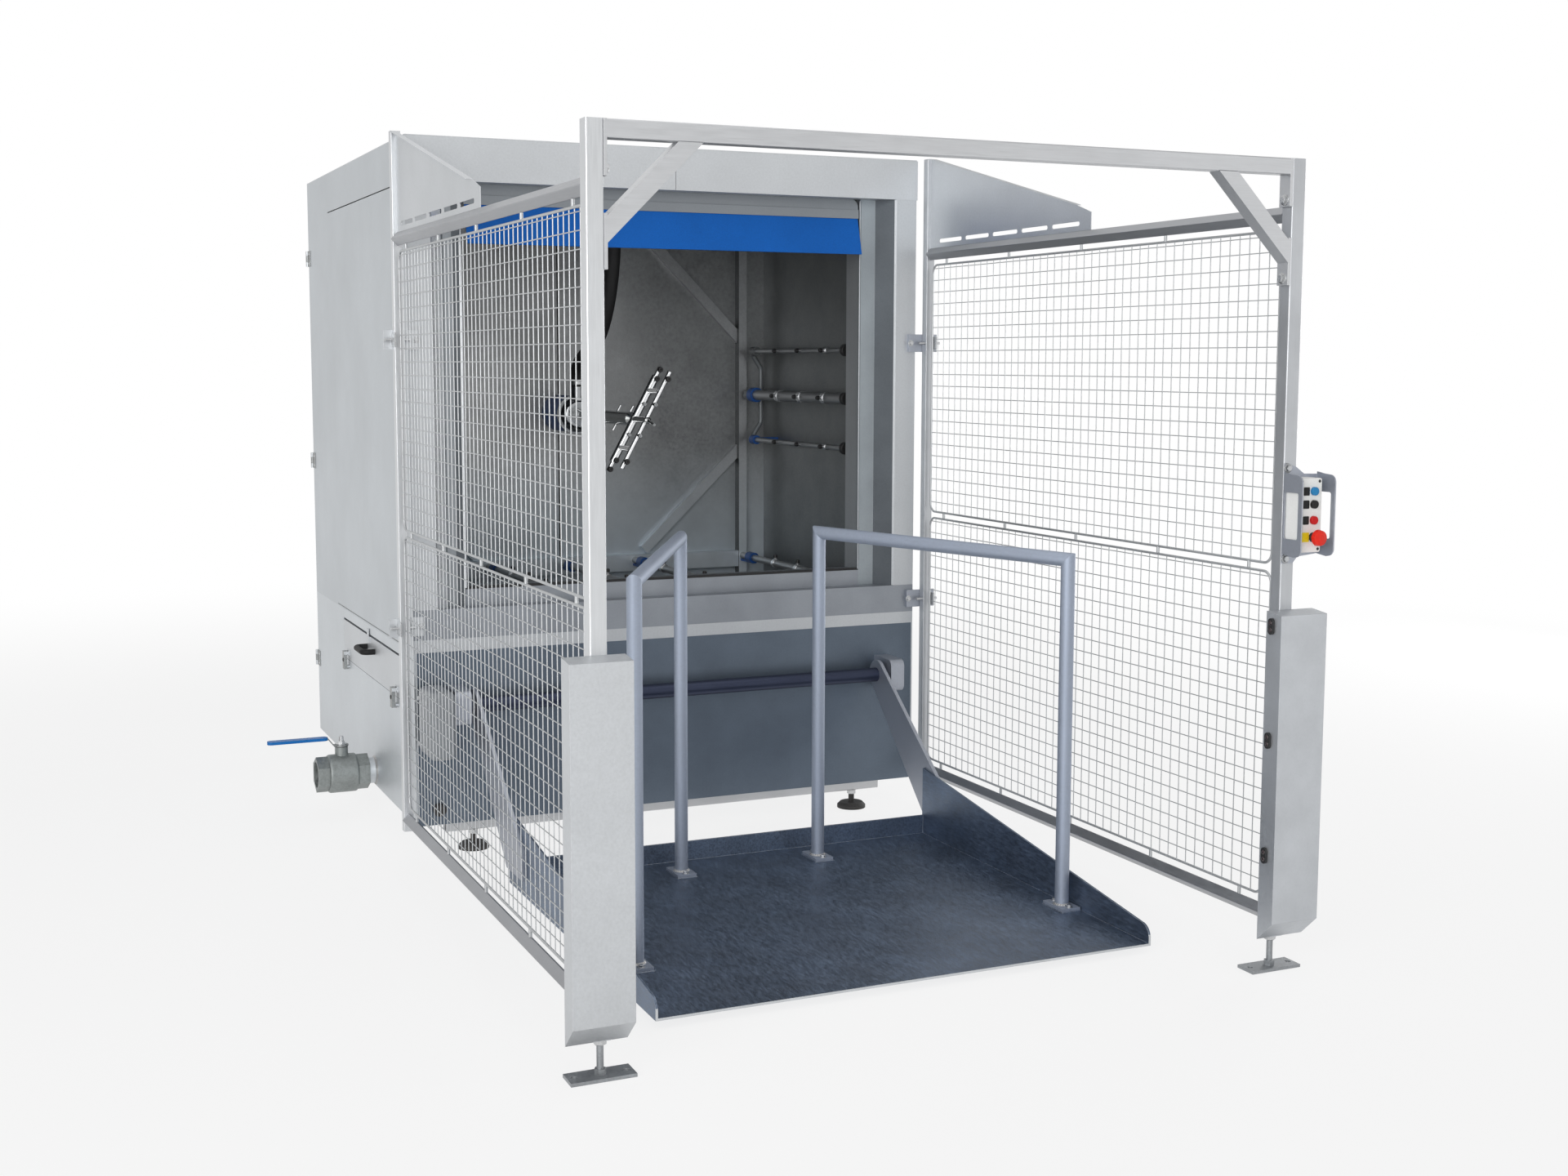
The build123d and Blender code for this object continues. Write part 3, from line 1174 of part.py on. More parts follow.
def main():
    """Write every node of the machine."""
    os.makedirs("parts", exist_ok=True)
    save("fence_posts", *pair(gate_post()), *pair(rear_post()))
    save("gate_portal", gate_portal())
    save("post_covers", *pair(post_cover()))
    save("photo_eyes", *[eye for height in EYE_HEIGHTS for eye in pair(photo_eye(height))])
    save("gate_feet", *[solid for piece in gate_foot() for solid in pair(piece)])
    save("panel_bracket", panel_bracket())
    save("panel_box", panel_box())
    for name, height in zip(("start_button", "cycle_button", "stop_button"), BUTTON_HEIGHTS):
        save(name, push_button(height))
    save("emergency_button", emergency_button())
    save("fence_rails", *[rail for height in RAIL_HEIGHTS for rail in pair(fence_rail(height))])
    save("mesh_frames", *[frame for piece in mesh_frames() for frame in pair(piece)])
    wires = [wire for heights in PANEL_HEIGHTS for wire in mesh_wires(heights)]
    save("mesh_wires", *[twin for wire in wires for twin in pair(wire)])
    save("splash_sheets", *pair(splash_sheet()))
    save("fence_brackets", *[piece for height in BRACKET_HEIGHTS for piece in pair(fence_bracket(height))])

    wall = side_wall()
    save("right_wall", wall)
    left_wall = left(wall) - block((-CABIN_HALF, SHEET - CABIN_HALF), SIDE_SLOT_Y, SIDE_SLOT_Z)
    seam_x = (-CABIN_HALF, LEFT_SEAM_DEPTH - CABIN_HALF)
    save("left_wall", left_wall - block(seam_x, LEFT_SEAM_Y, LEFT_SEAM_Z))
    save("roof_panel", roof_panel())
    save("front_header", *pair(front_header()))
    save("front_jambs", *pair(front_jamb()))
    save("sill_apron", sill_apron())
    save("sill_seal", sill_seal())
    save("flap_carrier", flap_carrier())
    save("splash_flap", splash_flap())
    save("sump_tank", sump_tank())
    feet = [Pos(FOOT_X, row, 0) * levelling_foot() for row in FOOT_ROWS]
    save("levelling_feet", *[twin for foot in feet for twin in pair(foot)])
    save("base_bars", *[base_bar(row) for row in FOOT_ROWS])
    save("chamber_back_wall", chamber_back_wall())
    braces = [brace for ends in BRACES for brace in pair(wall_brace(*ends))]
    save("chamber_ribs", *pair(corner_post()), back_rail(), *braces)

    save("side_spray_bars", *pair(side_spray_bar()))
    save("pipe_end_caps", *[cap for piece in end_caps() for cap in pair(piece)])
    save("floor_spray_pipes", *floor_spray_pipes())
    save("pipe_clamps", *pipe_clamps())
    save("hub_flange", hub_flange())
    save("hub_housing", hub_housing())
    save("rotor_pipe", rotor_pipe())
    save("rotor_arms", *rotor_arms())
    save("feed_hose", feed_hose())

    save("wash_pump", *wash_pump())
    save("pump_pipes", *pump_pipes())
    save("rotor_drive", rotor_drive())
    door = rear_door()
    save("rear_door_right", door)
    save("rear_door_left", left(door))
    save("door_hinges", *[hinge for height in HINGE_HEIGHTS for hinge in pair(door_hinge(height))])

    save("drawer_front", drawer_front())
    save("filter_basket", filter_basket())
    save("drawer_handle", drawer_handle())
    for name, place in LATCH_PLACES.items():
        save(f"{name}_latch_lever", latch_lever(place))
    save("drain_valve_body", drain_valve_body())
    save("drain_valve_ball", drain_valve_ball())
    save("drain_valve_lever", drain_valve_lever())

    save("platform", platform())
    save("cradle_arms", *pair(cradle_arm()))
    save("torque_tube", rod((AXLE_X[0], AXLE_Y, AXLE_Z), (AXLE_X[1], AXLE_Y, AXLE_Z), AXLE))
    loop = retaining_loop()
    middle = Pos(LOOP_MIDDLE, 0, 0)
    save("right_loop", *[middle * piece for piece in loop])
    save("left_loop", *[middle * left(piece) for piece in loop])
    save("cradle_bearings", *pair(cradle_bearing()))
    save("tilt_gearmotor", tilt_gearmotor())


main()
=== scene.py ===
# %% [markdown]
# # A tilting crate washer
# The machine is a stainless cabin with a fenced loading bay in front of it. A gate, two mesh fences
# and a tipping cradle stand before the mouth of the cabin, and a spray rotor hangs inside. All rigid
# forms come from the CAD frame. This lesson adds the finishes and the small hardware: round mesh
# wires, bolts, clips, lenses and weld beads.

# %% Load the frame
import math

import bpy
import numpy as np
from mathutils import Matrix


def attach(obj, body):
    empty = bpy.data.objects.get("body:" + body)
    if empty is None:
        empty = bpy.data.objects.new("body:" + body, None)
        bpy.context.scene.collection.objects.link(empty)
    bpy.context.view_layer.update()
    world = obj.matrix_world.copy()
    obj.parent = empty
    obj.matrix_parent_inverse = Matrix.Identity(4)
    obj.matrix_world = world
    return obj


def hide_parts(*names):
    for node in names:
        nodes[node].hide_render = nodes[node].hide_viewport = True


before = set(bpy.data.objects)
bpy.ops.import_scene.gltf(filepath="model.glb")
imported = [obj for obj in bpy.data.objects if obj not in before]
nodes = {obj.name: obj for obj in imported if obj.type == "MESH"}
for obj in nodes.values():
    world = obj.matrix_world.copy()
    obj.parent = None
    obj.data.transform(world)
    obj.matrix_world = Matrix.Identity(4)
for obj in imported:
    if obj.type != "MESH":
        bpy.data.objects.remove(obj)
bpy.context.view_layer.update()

# %% [markdown]
# ## Where things are
# The drawing counts millimetres from the middle of the gate, and the frame counts metres from the
# middle of the whole machine. One function turns the first into the second, so every place below
# can be read off the drawing.

# %% From the drawing to the frame
GATE_MIDDLE = np.array([121.5, -1791.5, 0.0])
MM = 0.001


def place(points):
    """Drawing millimetres to frame metres: (point + gate middle) / 1000."""
    return (np.asarray(points, float) + GATE_MIDDLE) * MM


print("gate middle in the frame:", place([0, 0, 0]))

# %% [markdown]
# ## The camera
# The photograph was taken from the front left at about eye height. Its yaw, pitch and focal length
# were worked out from the gate's right angles. The camera could be aimed by hand, but a matrix whose
# columns are its right, up and backward directions takes the worked-out angles as they are. The
# optical axis misses the middle of the picture a little, and the lens shift takes that up.

# %% Camera
YAW, PITCH, ROLL = np.radians([23.7195, 6.08, 0.0824])
FOCAL_PX, IMAGE_PX = 2216.34, np.array([1920.0, 1440.0])
OPTICAL_AXIS_PX = np.array([934.38, 680.65])
CAMERA_SPOT = [-2139.46, -3650.69, 1567.86]
SENSOR_MM, CLIP_END = 36.0, 100.0

forward = np.array([math.sin(YAW) * math.cos(PITCH), math.cos(YAW) * math.cos(PITCH), -math.sin(PITCH)])
level = np.array([math.cos(YAW), -math.sin(YAW), 0.0])
upright = np.cross(level, forward)
right = math.cos(ROLL) * level + math.sin(ROLL) * upright
up = np.cross(right, forward)

scene = bpy.context.scene
lens = bpy.data.cameras.new("photo_camera")
lens.sensor_width = SENSOR_MM
lens.lens = FOCAL_PX / IMAGE_PX[0] * SENSOR_MM
lens.shift_x, lens.shift_y = (IMAGE_PX / 2 - OPTICAL_AXIS_PX) / IMAGE_PX[0] * (1, -1)
lens.clip_end = CLIP_END
camera = bpy.data.objects.new("photo_camera", lens)
turn = Matrix(np.column_stack([right, up, -forward]).tolist()).to_4x4()
camera.matrix_world = Matrix.Translation(place(CAMERA_SPOT)) @ turn
scene.collection.objects.link(camera)
scene.camera = camera
print("lens", round(lens.lens, 2), "shift", round(lens.shift_x, 4), round(lens.shift_y, 4))

# %% [markdown]
# ## Shorthand for shader nodes
# A shader is a tree of small nodes. Adding one, setting its values and linking its inputs takes
# several lines each time, so a few helpers do it in one call. Each takes plain values or the outputs
# of other nodes, and most give back the output that the next node needs.

# %% Node helpers
WHITE = (1.0, 1.0, 1.0, 1.0)


def add_node(tree, kind, inputs=None, **settings):
    """Adds one shader node; inputs are values or sockets to link from."""
    made = tree.nodes.new(kind)
    for key, value in settings.items():
        setattr(made, key, value)
    for key, value in (inputs or {}).items():
        if isinstance(value, bpy.types.NodeSocket):
            tree.links.new(value, made.inputs[key])
        else:
            made.inputs[key].default_value = value
    return made


def maths(tree, operation, first, second):
    """The output of a Math node."""
    return add_node(tree, "ShaderNodeMath", {0: first, 1: second}, operation=operation).outputs[0]


def vector_maths(tree, operation, inputs, output=0):
    """An output of a Vector Math node: 0 is the vector, and Value a single number."""
    return add_node(tree, "ShaderNodeVectorMath", inputs, operation=operation).outputs[output]


def map_range(tree, value, start=(0.0, 1.0), end=(0.0, 1.0), smooth=False):
    """The output of a Map Range node, which takes the start range to the end range."""
    ends = {"From Min": start[0], "From Max": start[1], "To Min": end[0], "To Max": end[1]}
    kind = "SMOOTHSTEP" if smooth else "LINEAR"
    return add_node(tree, "ShaderNodeMapRange", {"Value": value, **ends}, interpolation_type=kind).outputs[0]


def mix_tones(tree, share, first, second, blend="MIX"):
    """The colour output of a Mix node, whose two colours are its inputs 6 and 7."""
    inputs = {0: share, 6: first, 7: second}
    return add_node(tree, "ShaderNodeMix", inputs, data_type="RGBA", blend_type=blend).outputs[2]


def object_place(tree):
    """Object coordinates, which are metres in the frame for every piece here."""
    return add_node(tree, "ShaderNodeTexCoord").outputs["Object"]


def seen_directly(tree):
    """1 for camera, glossy and transmitted rays, 0 for diffuse ones."""
    ray = add_node(tree, "ShaderNodeLightPath").outputs
    first = maths(tree, "MAXIMUM", ray["Is Camera Ray"], ray["Is Glossy Ray"])
    return maths(tree, "MAXIMUM", first, ray["Is Transmission Ray"])


# %% [markdown]
# ## Floor, background and light
# The floor is one large pale square that fades to white far from the machine, so no horizon shows.
# The camera sees a white world. Mirrored rays see a studio that is white in front and behind and
# greyer towards both sides, and diffuse rays get a weaker light from all round, so the background is
# white and the steel still has shade. A picture of a studio could light it too, but a ramp of seven
# greys is enough for matt steel. Four large soft lamps stand where a studio would put them: front
# left, front right, at the right side and above.

# %% World
AMBIENT = 0.34
STUDIO_SIDES = ((0.0, 0.5), (0.25, 0.85), (0.4, 1.0), (0.63, 1.0), (0.76, 0.42), (0.88, 0.65), (1.0, 1.0))

scene.view_settings.view_transform = "Standard"
world = bpy.data.worlds.new("studio")
world.use_nodes = True
tree = world.node_tree
tree.nodes.clear()
way = add_node(tree, "ShaderNodeTexCoord").outputs["Generated"]
across = add_node(tree, "ShaderNodeSeparateXYZ", {0: way}).outputs["X"]
sides = add_node(tree, "ShaderNodeValToRGB", {"Fac": map_range(tree, across, start=(-1.0, 1.0))})
stops = sides.color_ramp.elements
for spot, grey in STUDIO_SIDES[1:-1]:
    stops.new(spot).color = (grey, grey, grey, 1)
stops[0].color, stops[-1].color = [(grey, grey, grey, 1) for _, grey in (STUDIO_SIDES[0], STUDIO_SIDES[-1])]
camera_ray = add_node(tree, "ShaderNodeLightPath").outputs["Is Camera Ray"]
bright = maths(tree, "MAXIMUM", sides.outputs[0], camera_ray)
strength = map_range(tree, seen_directly(tree), end=(AMBIENT, bright))
sky = add_node(tree, "ShaderNodeBackground", {"Color": WHITE, "Strength": strength})
add_node(tree, "ShaderNodeOutputWorld", {"Surface": sky.outputs[0]})
scene.world = world
print("world:", world.name, "greys:", len(stops))

# %% Floor
FLOOR_HALF, FLOOR_DROP = 30.0, 0.0005
FLOOR_TONE = (0.86, 0.86, 0.86, 1.0)
FADE_SPAN, FADE_SHARE = (2.5, 8.0), (0.80, 1.0)

corners = np.array([[-1, -1, 0], [1, -1, 0], [1, 1, 0], [-1, 1, 0]], float) * FLOOR_HALF
floor_mesh = bpy.data.meshes.new("floor")
floor_mesh.from_pydata((corners - [0, 0, FLOOR_DROP]).tolist(), [], [[0, 1, 2, 3]])
floor = bpy.data.objects.new("floor", floor_mesh)
scene.collection.objects.link(floor)

floor_finish = bpy.data.materials.new("pale_floor")
floor_finish.use_nodes = True
tree = floor_finish.node_tree
tree.nodes.clear()
matt = add_node(tree, "ShaderNodeBsdfDiffuse", {"Color": FLOOR_TONE})
glow = add_node(tree, "ShaderNodeEmission", {"Color": WHITE, "Strength": 1.0})
away = vector_maths(tree, "LENGTH", {0: object_place(tree)}, "Value")
fade = map_range(tree, away, start=FADE_SPAN, end=FADE_SHARE, smooth=True)
share = maths(tree, "MULTIPLY", seen_directly(tree), fade)
mixed = add_node(tree, "ShaderNodeMixShader", {0: share, 1: matt.outputs[0], 2: glow.outputs[0]})
add_node(tree, "ShaderNodeOutputMaterial", {"Surface": mixed.outputs[0]})
floor_mesh.materials.append(floor_finish)
print("floor:", 2 * FLOOR_HALF, "m wide")

# %% Lamps


def soft_lamp(name, spot, target, size, watts):
    """A square area lamp at spot that looks at target; its columns are side, up and backward."""
    data = bpy.data.lights.new(name, "AREA")
    data.size, data.energy = size, watts
    lamp = bpy.data.objects.new(name, data)
    back = np.asarray(spot, float) - np.asarray(target, float)
    back /= np.linalg.norm(back)
    side = np.cross([0, 0, 1], back)
    side /= np.linalg.norm(side)
    way = Matrix(np.column_stack([side, np.cross(back, side), back]).tolist()).to_4x4()
    lamp.matrix_world = Matrix.Translation(spot) @ way
    scene.collection.objects.link(lamp)


soft_lamp("front_left_lamp", (-7.0, -7.5, 2.6), (0, 0.2, 1.1), size=7.0, watts=620)
soft_lamp("front_right_lamp", (6.5, -6.5, 3.0), (0, 0.2, 1.0), size=6.0, watts=45)
soft_lamp("right_lamp", (6.5, 1.6, 2.0), (-0.6, 0.3, 1.3), size=3.0, watts=130)
soft_lamp("top_lamp", (0.0, -1.5, 7.5), (0, 0, 0), size=6.0, watts=60)

# %% [markdown]
# ## Effects that finishes share
# Almost every surface here has two things in common: a slow change of tone from sheet rolling and
# handling, and a fine grain. Both are noise, only at other scales and stretched another way, so one
# group makes them. A second group gathers grime near the floor, where water splashes back. A third
# finds the edges, where the normal of a slightly rounded copy leaves the true one. A fourth marks
# the faces inside a box in space, for a node that isn't the same all over. Each could be built anew
# in every material, but a group is built once and only its values change.

# %% Group helper


def shader_group(name, inputs, output):
    """A node group with named inputs (float or vector) and one float output."""
    group = bpy.data.node_groups.new(name, "ShaderNodeTree")
    for title, default in inputs.items():
        kind = "NodeSocketVector" if isinstance(default, tuple) else "NodeSocketFloat"
        socket = group.interface.new_socket(title, in_out="INPUT", socket_type=kind)
        socket.default_value = default
    group.interface.new_socket(output, in_out="OUTPUT", socket_type="NodeSocketFloat")
    return group, group.nodes.new("NodeGroupInput"), group.nodes.new("NodeGroupOutput")


def use_group(tree, group, **inputs):
    """The output of a shared group, placed in a material with its own values."""
    return add_node(tree, "ShaderNodeGroup", inputs, node_tree=group).outputs[0]


# %% Grain and grime
NOISE_SPAN, NOISE_ROUGHNESS = (0.3, 0.7), 0.6
PATCH_SCALE, PATCH_DETAIL = 14.0, 4.0

grain_group, given, result = shader_group("surface_grain", {
    "Stretch": (1.0, 1.0, 1.0), "Scale": 10.0, "Detail": 3.0, "Low": 0.0, "High": 1.0}, "Value")
stretched = vector_maths(grain_group, "MULTIPLY", {0: object_place(grain_group), 1: given.outputs["Stretch"]})
noise = add_node(grain_group, "ShaderNodeTexNoise", {
    "Vector": stretched, "Scale": given.outputs["Scale"], "Detail": given.outputs["Detail"],
    "Roughness": NOISE_ROUGHNESS})
spread = map_range(grain_group, noise.outputs[0], NOISE_SPAN, (given.outputs["Low"], given.outputs["High"]))
grain_group.links.new(spread, result.inputs["Value"])

grime_group, given, result = shader_group("floor_grime", {"Reach": 0.3, "Amount": 0.3}, "Mask")
spot = object_place(grime_group)
height = add_node(grime_group, "ShaderNodeSeparateXYZ", {0: spot}).outputs["Z"]
low = map_range(grime_group, height, (0.0, given.outputs["Reach"]), (1.0, 0.0), smooth=True)
patchy = add_node(grime_group, "ShaderNodeTexNoise", {
    "Vector": spot, "Scale": PATCH_SCALE, "Detail": PATCH_DETAIL})
both = maths(grime_group, "MULTIPLY", low, patchy.outputs[0])
kept = maths(grime_group, "MULTIPLY", both, given.outputs["Amount"])
grime_group.links.new(kept, result.inputs["Mask"])
print("groups:", grain_group.name, grime_group.name)

# %% Edges and boxes
EDGE_AGREES = (0.98, 0.80)
BEVEL_SAMPLES = 4
SHARP = 0.0001

edge_group, given, result = shader_group("edge_wear", {"Radius": 0.0012, "Amount": 0.12}, "Mask")
rounded = add_node(edge_group, "ShaderNodeBevel", {"Radius": given.outputs["Radius"]}, samples=BEVEL_SAMPLES)
flat = add_node(edge_group, "ShaderNodeNewGeometry").outputs["Normal"]
agree = vector_maths(edge_group, "DOT_PRODUCT", {0: rounded.outputs[0], 1: flat}, "Value")
bent = map_range(edge_group, agree, EDGE_AGREES, (0.0, given.outputs["Amount"]))
edge_group.links.new(bent, result.inputs["Mask"])

# The box mask places real second tones and also painted shade and painted light.
box_group, given, result = shader_group(
    "painted_light_and_tone_box", {"Low": (0.0, 0.0, 0.0), "High": (1.0, 1.0, 1.0), "Soft": SHARP}, "Mask")
spot = object_place(box_group)
above = vector_maths(box_group, "SUBTRACT", {0: spot, 1: given.outputs["Low"]})
below = vector_maths(box_group, "SUBTRACT", {0: given.outputs["High"], 1: spot})
depth = vector_maths(box_group, "MINIMUM", {0: above, 1: below})
each = add_node(box_group, "ShaderNodeSeparateXYZ", {0: depth}).outputs
least = maths(box_group, "MINIMUM", maths(box_group, "MINIMUM", each["X"], each["Y"]), each["Z"])
inside = map_range(box_group, least, (0.0, given.outputs["Soft"]), smooth=True)
box_group.links.new(inside, result.inputs["Mask"])
print("groups:", edge_group.name, box_group.name)

# %% [markdown]
# ## One recipe for all finishes
# A finish is a tone that drifts between two colours, a roughness that follows the grain, a little
# bump from the same grain and a veil of grime near the floor. Metals, plastics and rubber differ only
# in their numbers. The numbers that are the same all over go straight to the shader's own sockets.

# %% Finish recipe
GRIME_TONE = (0.16, 0.15, 0.14, 1.0)
DRIFT_DETAIL, BUMP_DEPTH = 5.0, 0.001
WORN_FLOOR = 0.4


def finish(name, tone, drift=0.06, drift_scale=2.5, grain_scale=240.0, stretch=(1.0, 1.0, 1.0),
           rough=(0.4, 0.55), bump=0.05, grime=0.25, edge=0.0012, wear=0.12, **sockets):
    """A procedural material: tone * (1 -+ drift) over slow noise, roughness and bump over fine noise,
    edges rounded by the edge radius in metres and lightened by wear. Other names are the shader's
    own sockets, with _ for a space."""
    material = bpy.data.materials.new(name)
    material.use_nodes = True
    tree = material.node_tree
    shader = tree.nodes["Principled BSDF"]
    slow = use_group(tree, grain_group, Scale=drift_scale, Detail=DRIFT_DETAIL)
    fine = use_group(tree, grain_group, Scale=grain_scale, Stretch=stretch)
    ramp = add_node(tree, "ShaderNodeValToRGB", {"Fac": slow})
    ramp.color_ramp.elements[0].color = (*[c * (1 - drift) for c in tone], 1.0)
    ramp.color_ramp.elements[1].color = (*[min(c * (1 + drift), 1.0) for c in tone], 1.0)
    speckled = mix_tones(tree, drift * 2, ramp.outputs[0], fine, "MULTIPLY")
    grimy = mix_tones(tree, use_group(tree, grime_group, Amount=grime), speckled, GRIME_TONE)
    worn_tone = (*[WORN_FLOOR + (1 - WORN_FLOOR) * c for c in tone], 1.0)
    worn = mix_tones(tree, use_group(tree, edge_group, Radius=edge, Amount=wear), grimy, worn_tone)
    tree.links.new(worn, shader.inputs["Base Color"])
    tree.links.new(map_range(tree, fine, end=rough), shader.inputs["Roughness"])
    raised = add_node(tree, "ShaderNodeBump", {"Height": fine, "Strength": bump, "Distance": BUMP_DEPTH})
    if edge:
        soft = add_node(tree, "ShaderNodeBevel", {"Radius": edge}, samples=BEVEL_SAMPLES)
        tree.links.new(soft.outputs[0], raised.inputs["Normal"])
    tree.links.new(raised.outputs[0], shader.inputs["Normal"])
    for title, value in sockets.items():
        shader.inputs[title.replace("_", " ")].default_value = value
    return material


# %% [markdown]
# ## The finishes
# Most of the machine is bead-blasted stainless sheet, which is pale, matt and slightly cloudy. Tubes
# are drawn, so their grain runs along them. The platform is a darker, scuffed plate. The blue pieces
# are plastic, the valve is cast, and the drives are painted. Values that a family of finishes shares
# are kept in one place and passed to each of them.

# %% Sheets
SHEET = dict(drift=0.05, grain_scale=150, rough=(0.40, 0.54), bump=0.06, Metallic=0.85)
blasted = finish("blasted_sheet", (0.62, 0.64, 0.66), **SHEET)
# bracket_sheet is darker and bluer than the other sheet: painted shade with a painted blue reflection.
bracket_sheet = finish("bracket_sheet", (0.43, 0.455, 0.51), **SHEET)
# carrier_sheet is dark: painted shadow under the header, on the flap carrier and its clamp strip.
carrier_sheet = finish("carrier_sheet", (0.27, 0.29, 0.31), **SHEET)
chamber = finish("chamber_sheet", (0.41, 0.42, 0.425), drift=0.12, drift_scale=5, grain_scale=90,
                 rough=(0.32, 0.55), bump=0.12, grime=0.1, Metallic=0.95)
rib_sheet = finish("rib_sheet", (0.54, 0.55, 0.56), drift=0.08, drift_scale=5, grain_scale=120,
                   rough=(0.34, 0.5), bump=0.08, grime=0.1, Metallic=0.9)
scuffed = finish("scuffed_plate", (0.19, 0.25, 0.35), drift=0.22, drift_scale=5, grain_scale=60,
                 stretch=(3.0, 0.6, 3.0), rough=(0.34, 0.55), bump=0.08, grime=0.3, wear=0.85, edge=0.002,
                 Metallic=0.85)
print("materials:", len(bpy.data.materials))

# %% Tubes and pipes
ALONG_Z, ALONG_Y, ALONG_X = (14.0, 14.0, 0.5), (14.0, 0.5, 14.0), (0.5, 14.0, 14.0)
DRAWN = dict(grain_scale=30, rough=(0.34, 0.5))
ROTOR = dict(drift=0.03, grain_scale=60, rough=(0.12, 0.24), bump=0.02, grime=0.0, Metallic=1.0)
upright_tube = finish("upright_tube", (0.68, 0.695, 0.71), drift=0.04, stretch=ALONG_Z, Metallic=0.85,
                      **DRAWN)
long_tube = finish("long_tube", (0.38, 0.39, 0.41), drift=0.05, stretch=ALONG_Y, Metallic=0.9, **DRAWN)
cross_tube = finish("cross_tube", (0.62, 0.63, 0.645), drift=0.04, stretch=ALONG_X, Metallic=0.85, **DRAWN)
# dark_shaft's near-black, bluish tone on the torque tube is painted shade.
dark_shaft = finish("dark_shaft", (0.05, 0.06, 0.10), drift=0.08, stretch=ALONG_X, Metallic=0.85, **DRAWN)
loop_tube = finish("loop_tube", (0.395, 0.445, 0.54), drift=0.05, grain_scale=120, rough=(0.5, 0.62),
                   Metallic=0.6)
spray_pipe = finish("spray_pipe", (0.42, 0.43, 0.44), drift=0.05, grain_scale=30, stretch=ALONG_Y,
                    rough=(0.32, 0.44), bump=0.02, grime=0.0, Metallic=0.9)
rotor_steel, rotor_tube, arm_steel = [finish(name, (0.86, 0.87, 0.88), **ROTOR)
                                      for name in ("rotor_steel", "rotor_tube", "arm_steel")]
print("materials:", len(bpy.data.materials))

# %% Wire, castings and fasteners
mesh_wire = finish("pickled_wire", (0.55, 0.565, 0.575), drift=0.07, grain_scale=200, rough=(0.44, 0.54),
                   bump=0.0, edge=0, wear=0, Metallic=0.7)
foot_steel = finish("foot_steel", (0.38, 0.40, 0.42), drift=0.12, drift_scale=12, grain_scale=150,
                    rough=(0.4, 0.56), bump=0.08, Metallic=0.9)
hinge_steel = finish("hinge_steel", (0.36, 0.37, 0.37), drift=0.1, drift_scale=20, grain_scale=180,
                     rough=(0.36, 0.52), Metallic=0.9)
polished = finish("polished_hub", (0.36, 0.37, 0.38), drift=0.03, grain_scale=80, rough=(0.04, 0.09),
                  bump=0.01, grime=0.0, Metallic=1.0)
cast = finish("cast_valve", (0.33, 0.355, 0.35), drift=0.14, drift_scale=16, grain_scale=110,
              rough=(0.42, 0.62), bump=0.35, grime=0.2, Metallic=0.85)
bright_bolt = finish("bright_bolt", (0.60, 0.61, 0.62), drift=0.08, drift_scale=40, grain_scale=300,
                     rough=(0.22, 0.4), bump=0.03, edge=0.0004, Metallic=0.95)
weld = finish("weld_bead", (0.52, 0.52, 0.52), drift=0.15, drift_scale=60, grain_scale=260,
              rough=(0.35, 0.55), bump=0.15, edge=0, wear=0, Metallic=0.9)
print("materials:", len(bpy.data.materials))

# %% Plastics and rubber
MOULDED = dict(drift=0.1, drift_scale=9, grain_scale=320, rough=(0.34, 0.48), bump=0.05, grime=0.1)
flap_blue = finish("flap_sheet", (0.008, 0.14, 0.56), drift=0.08, drift_scale=3, grain_scale=260,
                   rough=(0.34, 0.46), bump=0.03, grime=0.0, Specular_IOR_Level=0.18)
moulded_blue = finish("moulded_blue", (0.018, 0.13, 0.48), **MOULDED)
clamp_blue = finish("clamp_blue", (0.014, 0.10, 0.38), **MOULDED)
sleeved = finish("sleeved_lever", (0.008, 0.16, 0.50), drift=0.06, drift_scale=9, rough=(0.34, 0.46),
                 grime=0.0, Specular_IOR_Level=0.25)
handle_black = finish("handle_black", (0.014, 0.014, 0.015), drift=0.2, drift_scale=9, grain_scale=340,
                      rough=(0.5, 0.66), bump=0.08, grime=0.1, Specular_IOR_Level=0.25)
moulded_black = finish("moulded_black", (0.022, 0.022, 0.023), drift=0.2, drift_scale=9, grain_scale=340,
                       rough=(0.38, 0.55), bump=0.08, grime=0.2)
rubber = finish("black_rubber", (0.018, 0.018, 0.019), drift=0.2, drift_scale=7, grain_scale=420,
                rough=(0.55, 0.75), bump=0.1, grime=0.5)
print("materials:", len(bpy.data.materials))

# %% Control box and paint
KEY = dict(drift=0.05, drift_scale=60, bump=0.02, grime=0.0)
GLOSSY_KEY = dict(rough=(0.3, 0.4), **KEY)
PAINT = dict(drift_scale=8, rough=(0.34, 0.46), Coat_Weight=0.2)
white_case = finish("white_case", (0.95, 0.955, 0.935), drift=0.03, drift_scale=12, grain_scale=420,
                    rough=(0.36, 0.46), bump=0.06, grime=0.0)
blue_key = finish("blue_key", (0.02, 0.25, 0.55), Specular_IOR_Level=0.3, **GLOSSY_KEY)
black_key = finish("black_key", (0.012, 0.012, 0.012), rough=(0.35, 0.45), Specular_IOR_Level=0.25, **KEY)
red_key = finish("red_key", (0.90, 0.030, 0.014), Specular_IOR_Level=0.3, **GLOSSY_KEY)
stop_key = finish("stop_key", (0.66, 0.014, 0.016), Specular_IOR_Level=0.2, **GLOSSY_KEY)
yellow_plate = finish("yellow_plate", (0.98, 0.78, 0.02), **GLOSSY_KEY)
dark_lens = finish("dark_lens", (0.03, 0.012, 0.014), drift=0.1, drift_scale=80, rough=(0.06, 0.12),
                   bump=0.01, grime=0.0, Coat_Weight=0.6)
